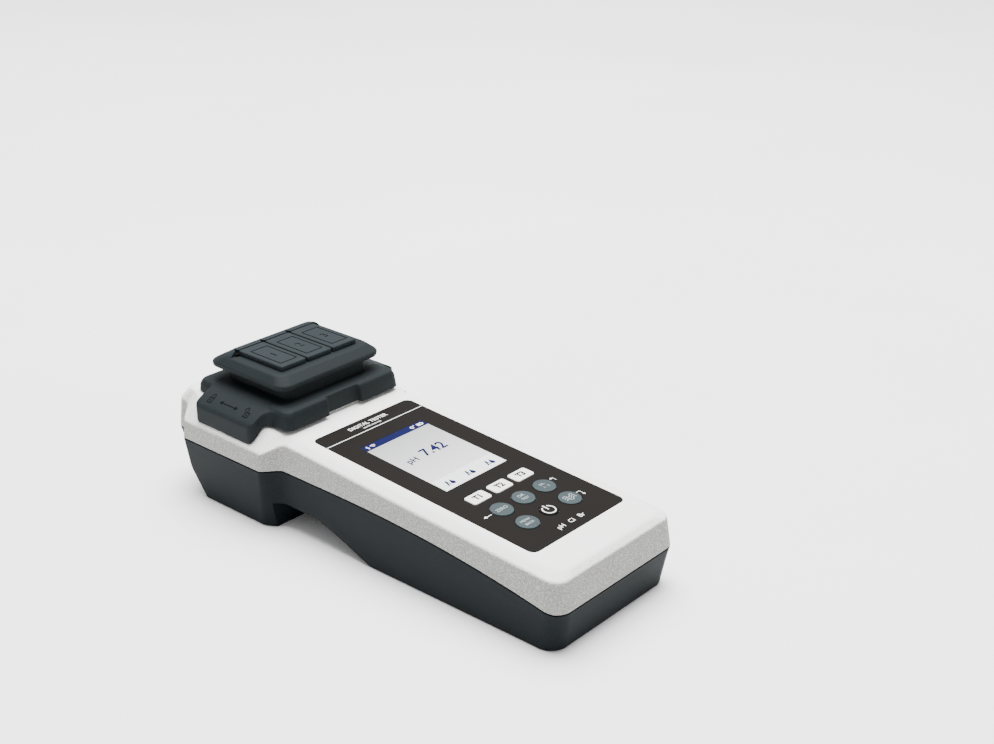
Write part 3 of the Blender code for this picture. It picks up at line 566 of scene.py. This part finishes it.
def smooth_arch():
    """The finger arch's profile with a curve through its points."""
    points = [Vector((0, y, z)) for y, z in ARCH]
    path = []
    for i in range(len(points) - 1):
        p0, p1, p2, p3 = points[max(i - 1, 0)], points[i], points[i + 1], points[min(i + 2, len(points) - 1)]
        for k in range(ARCH_STEPS):
            t = k / ARCH_STEPS
            at = p1 * 2 + (p2 - p0) * t + (p0 * 2 - p1 * 5 + p2 * 4 - p3) * t**2
            path.append((at + (p1 * 3 - p0 - p2 * 3 + p3) * t**3) * 0.5)
    return [(p.y, p.z) for p in path] + [ARCH[-1], (ARCH[-1][0], -1.0)]


def make_bottom_shell():
    rings = [
        ring(case_outline(BASE, 2.0), 0.0),
        ring(case_outline(BASE), 0.0),
        ring(case_outline(KINK), KINK_Z),
        ring(case_outline(PARTING), lambda x, y: parting_z(y) + LIP_LOW),
        ring(case_outline(PARTING, LIP_W), lambda x, y: parting_z(y) + LIP_LOW),
    ]
    body = loft(filleted(rings, (0.9, 2.2, 0.3)))
    hollow = loft([
        ring(case_outline(BASE, WALL), FLOOR),
        ring(case_outline(KINK, WALL), KINK_Z),
        ring(case_outline(PARTING, WALL), lambda x, y: parting_z(y)),
        ring(case_outline(PARTING, WALL), 60.0),
    ])
    grown = [(y - ARCH_WALL, z + ARCH_WALL * (z > 0)) for y, z in ARCH]
    grown += [(ARCH[-1][0] + ARCH_WALL, ARCH[-1][1] + ARCH_WALL), (ARCH[-1][0] + ARCH_WALL, -1.0)]
    across = (2 * ARCH_HALF_X, 0, 0)
    over_arch = raw_object("over_arch", prism([(-ARCH_HALF_X, y, z) for y, z in grown], across))
    cavity = solid("cavity", hollow, [("DIFFERENCE", over_arch)])
    arch = prism([(-ARCH_HALF_X, y, z) for y, z in smooth_arch()], across)
    screws = both_sides(SCREWS)
    obj = solid("shell_bottom", body, [
        ("DIFFERENCE", cavity), ("DIFFERENCE", arch),
        ("UNION", discs(screws, BOSS, 24)), ("DIFFERENCE", discs(screws, SCREW_HEAD, 32)),
        ("DIFFERENCE", discs(screws, SCREW_SHANK, 24)), ("DIFFERENCE", pocket(DOOR_HOLE)),
        ("DIFFERENCE", pocket(BAY)), ("DIFFERENCE", discs(both_sides([DOOR_SCREW]), DOOR_PILOT, 24)),
    ])
    add_piece(obj, SHELL_DARK, "case", ["bottom_case"])


def both_sides(places):
    return [(side * x, y) for x, y in places for side in (-1, 1)]


def pocket(size):
    return loft([box_ring(size["x"], size["y"], size["r"], z) for z in size["z"]])


def discs(centres, size, steps):
    made, r, (z0, z1) = [], size["r"], size["z"]
    for x, y in centres:
        bm = bmesh.new()
        place = Matrix.Translation((x, y, (z0 + z1) / 2))
        bmesh.ops.create_cone(
            bm, cap_ends=True, segments=steps, radius1=r, radius2=r, depth=z1 - z0, matrix=place
        )
        made.append(bm)
    return merged(made)


def make_seal():
    def level(lift):
        return ring(case_outline(PARTING, SEAL_INSET), lambda x, y: parting_z(y) + lift)

    body = loft([level(LIP_LOW - 0.05), level(LIP_HIGH + 0.05)])
    hollow = loft([ring(case_outline(PARTING, SEAL_INSET + SEAL_W), z) for z in (5.0, 45.0)])
    obj = solid("seal_visible", body, [("DIFFERENCE", hollow)])
    add_piece(obj, SEAL, "case", ["case_seal"])


# Keypad

def screen_box(margin, low, high):
    half = SCREEN_W / 2 + margin
    return box((-half, SCREEN_V[0] - margin, low), (half, SCREEN_V[1] + margin, high))


def circle_ring(r, steps):
    half = arc((0, 0), r, -90 + 180 / steps, 90 - 180 / steps, steps // 2 - 1)
    return [Vector((x, y, 0)) for x, y in half + [(-x, y) for x, y in reversed(half)]]


def key_outline(kind, grow):
    if kind == "bar":
        half_w, half_l = T_KEY[0] / 2 + grow, T_KEY[1] / 2 + grow
        return box_ring(half_w, (-half_l, half_l), T_KEY[2] + grow, 0.0, 6)
    return circle_ring((ROUND_KEY_R if kind == "round" else POWER_KEY_R) + grow, 56)


def keys():
    """(CAD node, kind, place) of every key."""
    found = [(f"key_function_{i + 1}", "bar", (u, T_KEY_V)) for i, u in enumerate(T_KEY_U)]
    found += [(f"key_round_{i + 1}", "round", place) for i, place in enumerate(ROUND_KEYS)]
    return found + [("key_power", "power", POWER_KEY)]


def at_height(points, w, scale=1.0):
    return [Vector((p.x * scale, p.y * scale, w)) for p in points]


def key_holes(grow, low, high):
    holes = []
    for _, kind, (u, v) in keys():
        outline = key_outline(kind, grow)
        hole = loft([at_height(outline, low), at_height(outline, high)])
        holes.append(moved(hole, face_frame() @ Matrix.Translation((u, v, 0))))
    return merged(holes)


def make_keys():
    finishes = {
        "bar": (WHITE_KEY, "key_white"), "round": (GREY_KEY, "key_grey"), "power": (OVERLAY, "overlay"),
    }
    for node, kind, (u, v) in keys():
        outline = key_outline(kind, 0.0)
        rings = [at_height(outline, KEY_STEM_W), at_height(outline, KEY_PROUD)]
        rings.append(at_height(outline, MARK_W, 0.6))
        body = loft(filleted(rings, (0.3,), 4))
        place = face_frame() @ Matrix.Translation((u, v, 0))
        obj = solid(node.replace("key_", "cap_"), moved(body, place), [])
        material, slot = finishes[kind]
        add_piece(obj, material, node, [node])


def make_overlay():
    sheet = face_frame()
    rings = [box_ring(LABEL_W / 2, (0, LABEL_L), LABEL_R, w) for w in (-LABEL_T, 0.0)]
    rings.append(box_ring(LABEL_W / 2 - 1.0, (1.0, LABEL_L - 1.0), LABEL_R - 1.0, 0.0))
    obj = solid("overlay_sheet", moved(loft(filleted(rings, (0.12,), 3)), sheet), [
        ("DIFFERENCE", moved(screen_box(0.05, -2.0, 1.0), sheet)),
        ("DIFFERENCE", key_holes(KEY_FIT, -2.0, 1.0)),
    ])
    add_piece(obj, OVERLAY, "case", ["keypad_overlay"])


# Printed marks: flat shapes in the (u, v) plane of the face, a few hundredths of a millimetre thick

def decal(name, shapes, material, body, w):
    """Closed outlines as thin plates on the sloping face."""
    parts = [prism([(u, v, w) for u, v in shape], (0, 0, INK)) for shape in shapes]
    obj = raw_object(name, moved(merged(parts), face_frame()))
    return add_piece(obj, material, body, weighted=False)


def rect(u0, v0, u1, v1):
    return [(u0, v0), (u1, v0), (u1, v1), (u0, v1)]


def stroke(a, b, width):
    """A straight line as a thin rectangle."""
    along = Vector(b) - Vector(a)
    side = Vector((-along.y, along.x)).normalized() * width / 2
    corners = (Vector(a) - side, Vector(b) - side, Vector(b) + side, Vector(a) + side)
    return [(p.x, p.y) for p in corners]


def ring_sector(centre, r, width, start, end, steps=24):
    outer = arc(centre, r + width / 2, start, end, steps)
    inner = arc(centre, r - width / 2, start, end, steps)
    return outer + list(reversed(inner))


def frame_shapes(u0, v0, u1, v1, width):
    """The four sides of a rectangle's outline."""
    half = width / 2
    return [
        rect(u0 - half, v0 - half, u1 + half, v0 + half), rect(u0 - half, v1 - half, u1 + half, v1 + half),
        rect(u0 - half, v0 + half, u0 + half, v1 - half), rect(u1 - half, v0 + half, u1 + half, v1 - half),
    ]


def frame_block(x0, y0, x1, y1, width, low, high):
    """A closed rectangular frame, as one solid."""
    bm = bmesh.new()
    rows = []
    for grow, z in ((0.5, low), (0.5, high), (-0.5, high), (-0.5, low)):
        g = grow * width
        corners = ((x0 - g, y0 - g), (x1 + g, y0 - g), (x1 + g, y1 + g), (x0 - g, y1 + g))
        rows.append([bm.verts.new((x, y, z)) for x, y in corners])
    for row, after in zip(rows, rows[1:] + rows[:1]):
        for i in range(4):
            bm.faces.new((row[i], row[(i + 1) % 4], after[(i + 1) % 4], after[i]))
    bmesh.ops.recalc_face_normals(bm, faces=bm.faces)
    return bm


def drop(u, v, size):
    """A water drop: a round body with a pointed top."""
    body = arc((u, v), size, 150, 390, 20)
    return body + [(u, v + size * 2.3)]


def letter_mesh(words, size, half_depth, bold=0.0):
    """Raised letters as a mesh, centred at the origin and reaching half_depth to each side."""
    curve = bpy.data.curves.new("letters", "FONT")
    curve.body = words
    curve.size = size
    curve.align_x = "CENTER"
    curve.align_y = "CENTER"
    curve.extrude = half_depth
    curve.offset = bold
    curve.resolution_u = LETTER_STEPS
    draft = bpy.data.objects.new("letters_draft", curve)
    bpy.context.scene.collection.objects.link(draft)
    bpy.context.view_layer.update()
    graph = bpy.context.evaluated_depsgraph_get()
    mesh = bpy.data.meshes.new_from_object(draft.evaluated_get(graph))
    bpy.data.objects.remove(draft)
    return mesh


def text(name, words, size, place, material, body, w, bold=0.0):
    """Generic lettering centred at a point of the face."""
    mesh = letter_mesh(words, size, INK / 2, bold)
    obj = bpy.data.objects.new(name, mesh)
    bpy.context.scene.collection.objects.link(obj)
    mesh.transform(face_frame() @ Matrix.Translation((place[0], place[1], w + INK / 2)))
    return add_piece(obj, material, body, weighted=False)


def make_display():
    sheet = face_frame()
    obj = solid("display_face", moved(screen_box(0.0, -1.6, WINDOW_W), sheet), [])
    add_piece(obj, DISPLAY, "case", ["display_window"])
    half, w = SCREEN_W / 2, WINDOW_W
    decal("display_status_bar", [rect(-half, BAR_V, half, SCREEN_V[1])], NAVY_INK, "case", w)
    edges = (-half + 0.3, -half / 3, half / 3, half - 0.3)
    cells = [rect(a + 0.2, SCREEN_V[0] + 0.4, b - 0.2, CELL_TOP_V) for a, b in zip(edges, edges[1:])]
    decal("display_cells", cells, PALE_INK, "case", w)
    drops = []
    for a, b in zip(edges, edges[1:]):
        middle, level = (a + b) / 2, SCREEN_V[0] + 3.4
        drops.append(drop(middle + 1.2, level, 1.15))
        drops.append(stroke((middle - 2.1, level - 1.1), (middle - 1.0, level + 2.6), 0.75))
        drops.append(stroke((middle - 0.6, level - 1.0), (middle - 1.0, level + 2.6), 0.45))
    decal("display_drops", drops, NAVY_INK, "case", w + INK)
    v = (BAR_V + SCREEN_V[1]) / 2
    icons = [stroke((-16.0, v - 1.2), (-16.0, v + 1.2), 0.35)]
    icons.append(stroke((-16.7, v + 0.5), (-15.3, v - 0.5), 0.25))
    icons += [ring_sector((-12.9, v - 1.1), r, 0.25, 45, 135, 10) for r in (0.6, 1.3, 2.0)]
    icons += [ring_sector((10.6, v), 0.75, 0.4, 20, 320, 14), stroke((11.2, v + 0.4), (12.4, v + 0.9), 0.4)]
    icons += frame_shapes(13.9, v - 0.8, 16.6, v + 0.8, 0.3)
    icons += [rect(14.3, v - 0.45, 15.7, v + 0.45), rect(16.75, v - 0.35, 17.2, v + 0.35)]
    decal("display_icons", icons, WHITE_INK, "case", w + INK)
    text("display_reading", "7.42", 8.0, (3.6, 82.6), NAVY_INK, "case", w, bold=0.16)
    text("display_unit", "pH", 5.0, (-10.0, 81.6), NAVY_INK, "case", w, bold=0.1)


def arrow(tail, head, width, size):
    """A thin line with a small triangular head."""
    along = (Vector(head) - Vector(tail)).normalized()
    side = Vector((-along.y, along.x)) * size * 0.5
    neck = Vector(head) - along * size
    return [stroke(tail, tuple(neck), width), [tuple(neck - side), tuple(head), tuple(neck + side)]]


def make_keypad_print():
    decal("overlay_line", [rect(-LABEL_W / 2 + 0.1, LINE_V - 0.17, LABEL_W / 2 - 0.1, LINE_V + 0.17)],
          WHITE_INK, "case", 0.0)
    text("overlay_title", "DIGITAL TESTER", 3.1, (0.2, 118.7), WHITE_INK, "case", 0.0, bold=0.02)
    text("overlay_subtitle", "WATER ANALYSIS", 1.3, (0.2, 115.9), WHITE_INK, "case", 0.0)
    text("overlay_foot", "pH   Cl   Br", 3.4, (0.0, 5.2), WHITE_INK, "case", 0.0)
    arrows = arrow((-18.9, 30.0), (-23.4, 30.0), 0.3, 1.6)
    arrows += [stroke((20.9, 29.6), (20.9, 31.8), 0.22)] + arrow((21.0, 31.7), (18.9, 31.7), 0.22, 1.2)
    arrows += [stroke((20.6, 17.4), (18.6, 17.4), 0.22)] + arrow((20.5, 17.5), (20.5, 13.9), 0.22, 1.2)
    decal("overlay_arrows", arrows, WHITE_INK, "case", 0.0)
    w = MARK_W
    for i, u in enumerate(T_KEY_U):
        text(f"mark_function_{i + 1}", f"T{i + 1}", 4.1, (u, T_KEY_V), BLACK_INK, f"key_function_{i + 1}",
             w, bold=0.22)
    words = (("ZERO",), ("OK", "TEST"), ("DIL.", "1 : 2"), ("MENU", "BACK"))
    for i, lines in zip((1, 2, 3, 4), words):
        u, v = ROUND_KEYS[i - 1]
        for k, line in enumerate(lines):
            shift = 0.0 if len(lines) == 1 else (1.3 if k == 0 else -1.2)
            size = 2.5 if len(line) < 3 or len(lines) == 1 else 1.9
            text(f"mark_round_{i}_{k + 1}", line, size, (u, v + shift), GREY_INK, f"key_round_{i}",
                 w)
    u, v = ROUND_KEYS[4]
    waves = []
    for level in (1.2, 0.0, -1.2):
        for k in range(3):
            centre = (u - 1.9 + 1.9 * k, v + level + (0.35 if k % 2 else -0.35))
            span = (200, 340) if k % 2 else (20, 160)
            waves.append(ring_sector(centre, 1.0, 0.3, *span, 8))
    decal("mark_round_5", waves, GREY_INK, "key_round_5", w)
    power = [ring_sector(POWER_KEY, 2.75, 0.5, 118, 422, 40), stroke((0.0, 16.5), (0.0, 19.9), 0.5)]
    decal("mark_power", power, WHITE_INK, "key_power", w)


# Adapter

def wing_z(x):
    return WING_ROOT[1] - WING_FALL * max(0.0, abs(x) - WING_ROOT[0]) ** 2


def wing_curve(drop_by=0.0):
    points = [(x, wing_z(x)) for x in (25, 26.5, 28, 29.5, 31, 32.5, 34, 35.5, 37, 38.5, 40, 41.2, 42.3)]
    return [(x, z - drop_by) for x, z in points + [(WING_X[1], WING_EDGE_Z)]]


def wing(side):
    (x0, x1), (y0, y1), r = WING_X, WING_Y, WING_R
    plan = [(x0, y0)] + arc((x1 - r, y0 + r), r, -90, 0, 8) + arc((x1 - r, y1 - r), r, 0, 90, 8) + [(x0, y1)]
    body = mirrored(prism([(x, y, WING_LOW) for x, y in plan], (0, 0, 30.0)), side)
    profile = [(x0 - 1, WING_LOW - 1), (x1 + 1, WING_LOW - 1), (x1 + 1, WING_EDGE_Z)]
    profile += list(reversed(wing_curve())) + [(x0 - 1, WING_ROOT[1])]
    section = mirrored(prism([(x, y0 - 1, z) for x, z in profile], (0, y1 - y0 + 2, 0)), side)
    return solid("wing", body, [("INTERSECT", section)])


def wing_clearance(side):
    (_, x1), (y0, y1) = WING_X, WING_Y
    high = WING_ROOT[1] + 10.0
    profile = wing_curve(0.3) + [(x1 + 5, WING_EDGE_Z), (x1 + 5, high), (WING_ROOT[0], high)]
    return mirrored(prism([(x, y0, z) for x, z in profile], (0, y1 - y0, 0)), side)


def wing_fillet(side):
    """The hollow corner between the block's side and the wing's front, under the wing's top curve."""
    wall, front, r = BLOCK_SIDE["x"], WING_Y[0] + 1.0, WING_FILLET
    curve = arc((wall + r, WING_Y[0] - r), r, 180, 90, 12)
    plan = [(wall - 4, curve[0][1])] + curve + [(curve[-1][0], front), (wall - 4, front)]
    body = mirrored(prism([(x, y, WING_LOW) for x, y in plan], (0, 0, 25.0)), side)
    profile = [(wall - 5, WING_LOW - 1), (wall + r + 1, WING_LOW - 1)]
    profile += [(x, z) for x, z in reversed(wing_curve(0.25)) if wall - 5 < x < wall + r + 1]
    section = mirrored(prism([(x, WING_Y[0] - r - 1, z) for x, z in profile], (0, r + 4, 0)), side)
    return solid("fillet", body, [("INTERSECT", section)])


def seat_shape():
    """The case's top with its clearance, drawn out at the rear by the adapter's travel."""
    def grown(level):
        back = tuple(y + ADAPTER_TRAVEL for y in level["back"])
        return case_outline(dict(level, back=back, rear=level["rear"] + ADAPTER_TRAVEL))

    return loft([
        ring(grown(PARTING), 5.0),
        ring(grown(BAND), lambda x, y: band_z(x, y) + 2 * GAP),
        ring(grown(CREST), lambda x, y: max(top_z(y), PAD_TOP) + GAP),
    ])


def cuvette_holes(low, high):
    half_w, half_l = CUVETTE_W / 2 + GAP, CUVETTE_L / 2 + GAP
    places = [side * CUVETTE_PITCH for side in (-1, 0, 1)]
    return merged([
        box((x - half_w, CHAMBER_Y - half_l, low), (x + half_w, CHAMBER_Y + half_l, high)) for x in places
    ])


def make_adapter_body():
    body = loft([level_ring(level, 10) for level in (BLOCK_LOW, BLOCK_SIDE, BLOCK_EDGE, BLOCK_CREST)])
    steps = []
    for side in (-1, 1):
        steps += [("DIFFERENCE", wing_clearance(side)), ("UNION", wing_fillet(side)), ("UNION", wing(side))]
    front = BLOCK_LOW["y"][0] - 5
    thumb = loft([box_ring(THUMB_X, (front, THUMB_Y), 0.9, z, 5) for z in (21.3, 61.7)])
    steps += [("DIFFERENCE", thumb), ("DIFFERENCE", cuvette_holes(20.0, 60.0))]
    half = BLOCK_LOW["x"] + 3
    skirt = box((-half, front, 20.0), (half, WING_Y[0] - 0.1, PAD_TOP + GAP - 0.05))
    steps += [("DIFFERENCE", skirt), ("DIFFERENCE", seat_shape())]
    obj = softened(solid("adapter_body", body, steps), ADAPTER_VOXEL, ADAPTER_ROUNDS)
    add_piece(obj, ADAPTER, "adapter", ["adapter_base"], weighted=False)


def drawn_in(level, inset, r, z):
    """A level's outline, smaller by an inset, with its own corner radius and height."""
    return box_ring(level["x"] - inset, (level["y"][0] + inset, level["y"][1] - inset), r, z)


def make_cap():
    rings = [
        box_ring(NECK["x"], NECK["y"], NECK["r"], BLOCK_CREST["z"] - 0.1),
        box_ring(NECK["x"], NECK["y"], NECK["r"], PLATE_LOW["z"] - 1.0),
        drawn_in(PLATE_LOW, 0.6, 5.4, PLATE_LOW["z"] - 0.2),
        level_ring(PLATE_RIM),
        drawn_in(PLATE_TOP, -0.2, 5.0, PLATE_TOP["z"]),
        drawn_in(PLATE_TOP, 3.0, 3.0, PLATE_TOP["z"]),
    ]
    body = loft(filleted(rings, (0.7, 0.8, 1.0, 1.2)))
    obj = solid("cap_body", body, [("DIFFERENCE", cuvette_holes(50.0, 66.0))])
    add_piece(obj, ADAPTER, "adapter", ["cap_frame"])


def flap_x(i):
    return (i - 2) * CUVETTE_PITCH


def shifted(points, x):
    return [p + Vector((x, 0, 0)) for p in points]


def flap_body(i):
    x, half = flap_x(i), (CUVETTE_PITCH - FLAP_GAP) / 2
    y0, y1 = FLAP_Y
    rings = [
        shifted(box_ring(half, (y0, y1), 0.9, FLAP_LOW, 5), x),
        shifted(box_ring(half, (y0, y1), 0.9, FLAP_TOP - 0.15, 5), x),
        shifted(box_ring(half - 1.2, (y0 + 1.4, y1 - 0.6), 0.5, FLAP_TOP, 5), x),
        shifted(box_ring(half - 2.0, (y0 + 2.2, y1 - 1.4), 0.5, FLAP_TOP, 5), x),
    ]
    return loft(filleted(rings, (0.7, 0.3)))


def make_flaps():
    for i in (1, 2, 3):
        x = flap_x(i)
        w, reach = CUVETTE_W / 2 - 1.5, CUVETTE_L / 2 - 2.5
        narrow = (CHAMBER_Y - reach + 0.4, CHAMBER_Y + reach - 0.4)
        plug = loft([
            shifted(box_ring(w - 0.4, narrow, 1.0, FLAP_LOW - 1.9, 4), x),
            shifted(box_ring(w, (CHAMBER_Y - reach, CHAMBER_Y + reach), 1.0, FLAP_LOW + 0.3, 4), x),
        ])
        low, (y0, y1), half = FLAP_TOP - ENGRAVING, FLAP_FRAME["y"], FLAP_FRAME["x"]
        grooves = frame_block(x - half, y0, x + half, y1, FLAP_FRAME["width"], low, low + 1.2)
        obj = solid(f"flap_lid_{i}", flap_body(i), [
            ("UNION", plug), ("DIFFERENCE", grooves), ("DIFFERENCE", numeral(str(i), x, low)),
        ])
        add_piece(obj, RUBBER, f"flap_{i}", [f"flap_{i}"])


def numeral(word, x, low):
    """A digit as a cutter that reaches down to a height."""
    mesh = letter_mesh(word, NUMERAL["size"], NUMERAL["half_depth"])
    bm = bmesh.new()
    bm.from_mesh(mesh)
    bpy.data.meshes.remove(mesh)
    bmesh.ops.remove_doubles(bm, verts=bm.verts, dist=0.0001)
    bmesh.ops.recalc_face_normals(bm, faces=bm.faces)
    return moved(bm, Matrix.Translation((x, NUMERAL["y"], low + NUMERAL["half_depth"])))


def make_hinge_strip():
    """The crown behind the flaps: the plate's bevel carried on up to the flaps' height."""
    x, (_, y1), r, y0 = PLATE_TOP["x"], PLATE_TOP["y"], PLATE_TOP["r"], CROWN_Y
    rings = [
        box_ring(x, (y0, y1), r, PLATE_TOP["z"] + 0.05),
        box_ring(x - 0.6, (y0, y1 - 0.9), r, PLATE_TOP["z"] + 0.6),
        box_ring(x - 2.6, (y0, y1 - 3.9), r - 1.5, FLAP_TOP),
        box_ring(x - 4.0, (y0, y1 - 5.0), r - 2.5, FLAP_TOP),
    ]
    notches, shades = [], []
    for i in (1, 2, 3):
        left = flap_x(i) - CUVETTE_PITCH / 2
        corners = [(left - 1.7, 191.6), (left + 1.5, 191.6), (left - 0.2, 195.2)]
        notches.append(prism([(a, b, 65.2) for a, b in corners], (0, 0, 5.0)))
        # painted shade: thin black prisms at each notch's bottom stand in for the shade inside the notch
        shades.append(prism([(a, b, 65.1) for a, b in corners], (0, 0, 0.6)))
    obj = solid("hinge_band", loft(filleted(rings, (0.4, 0.9))), [
        ("DIFFERENCE", box((-x - 5, y0 - 5, 50), (x + 5, FLAP_Y[1] + 0.35, 80))),
        ("DIFFERENCE", merged(notches)),
    ])
    add_piece(obj, RUBBER, "adapter", ["hinge_strip"])
    add_piece(raw_object("relief_shadow", merged(shades)), RECESS_SHADE, "adapter", weighted=False)


def wing_mark(name, shapes):
    """Engraved marks on the left and right wings, as dark inlays that follow the wing's curve; their
    near-black colour is painted shade standing in for the engraving's depth.
    """
    for word, side in (("left", -1), ("right", 1)):
        parts = []
        for shape in shapes:
            bm = prism([(a, b, 0.0) for a, b in shape], (0, 0, 0.12))
            for vert in bm.verts:
                x, y, lift = vert.co
                vert.co = (side * x, y, wing_z(x) - 0.07 + lift)
            if side < 0:
                bmesh.ops.reverse_faces(bm, faces=bm.faces)
            parts.append(bm)
        obj = raw_object(f"{name}_{word}", merged(parts))
        add_piece(obj, RECESS_SHADE, "adapter", weighted=False)


def padlock(x, y, opened):
    """A padlock whose body lies towards the wing's outer edge."""
    shapes = frame_shapes(x, y - 1.3, x + 2.2, y + 1.3, 0.42)
    shapes.append(rect(x + 0.8, y - 0.35, x + 1.5, y + 0.35))
    lift = 1.5 if opened else 0.0
    shackle = ring_sector((x - 1.2, y + lift), 0.85, 0.4, 90, 270, 12)
    legs = [stroke((x - 1.2, y + lift + 0.85), (x, y + lift + 0.85), 0.4)]
    legs.append(stroke((x - 1.2, y + lift - 0.85), (x, y + lift - 0.85), 0.4))
    return shapes + [shackle] + legs


def make_wing_marks():
    x = LOCK_MARK_X
    wing_mark("mark_lock_closed", padlock(x, 192.5, False))
    wing_mark("mark_lock_open", padlock(x, 168.6, True))
    shapes = arrow((x + 0.4, 180.0), (x + 0.4, 187.0), 0.45, 2.0)
    shapes += arrow((x + 0.4, 181.0), (x + 0.4, 175.0), 0.45, 2.0)
    wing_mark("mark_slide", shapes)


# Carried-over CAD nodes

def dress(material, *prefixes):
    for name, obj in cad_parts.items():
        if name.startswith(prefixes):
            for slot in obj.material_slots:
                slot.material = material


def dress_cad():
    dress(SHELL_DARK, "battery_door", "battery_cradle", "optics_tray")
    dress(STEEL, "battery_door_screw", "battery_contact", "case_screw", "lock_rail", "lock_hook")
    dress(CLEAR, "cuvette", "lamp_")
    dress(SEAL, "sensor_")
    dress(BOARD, "main_board", "lamp_board", "sensor_board")
    dress(CELL, "battery_cell")
    dress(DISPLAY, "display_module")


# Studio

def area_light(name, location, aim, size, power):
    light = bpy.data.lights.new(name, "AREA")
    light.shape = "DISK"
    light.size = size
    light.energy = power
    obj = bpy.data.objects.new(name, light)
    obj.location = location
    obj.rotation_euler = (Vector(aim) - Vector(location)).to_track_quat("-Z", "Y").to_euler()
    bpy.context.scene.collection.objects.link(obj)


def make_studio():
    bm = bmesh.new()
    bmesh.ops.create_grid(bm, x_segments=8, y_segments=8, size=FLOOR_SIZE)
    floor = raw_object("floor", bm)
    floor.location = (0, 0, -0.0001)
    pale = textured("studio_floor", "F4F4F4", "FAFAFA", 3.0, (0.8, 0.9), 0.0, cloud=1.0, shine=0.0)
    floor.data.materials.append(pale)
    world = bpy.data.worlds.new("studio")
    world.use_nodes = True
    sky = world.node_tree.nodes["Background"]
    sky.inputs["Color"].default_value = (1.0, 1.0, 1.0, 1.0)
    sky.inputs["Strength"].default_value = 0.75
    bpy.context.scene.world = world
    area_light("sky_panel", (0.5, 0.5, 2.2), (0.3, 0.3, 0), 2.6, 175.0)
    area_light("overhead", (0.1, 0.05, 1.1), (0, 0, 0), 0.7, 14.0)


def make_camera():
    camera = bpy.data.objects.new("camera", bpy.data.cameras.new("camera"))
    camera.location = CAMERA_PLACE
    camera.rotation_euler = [math.radians(turn) for turn in CAMERA_TURN]
    camera.data.sensor_width = 36.0
    camera.data.lens = CAMERA_LENS
    camera.data.clip_start = 0.01
    bpy.context.scene.collection.objects.link(camera)
    bpy.context.scene.camera = camera


make_camera()
make_studio()
make_top_shell()
make_bottom_shell()
make_seal()
make_overlay()
make_display()
make_keys()
make_keypad_print()
make_adapter_body()
make_cap()
make_flaps()
make_hinge_strip()
make_wing_marks()
dress_cad()
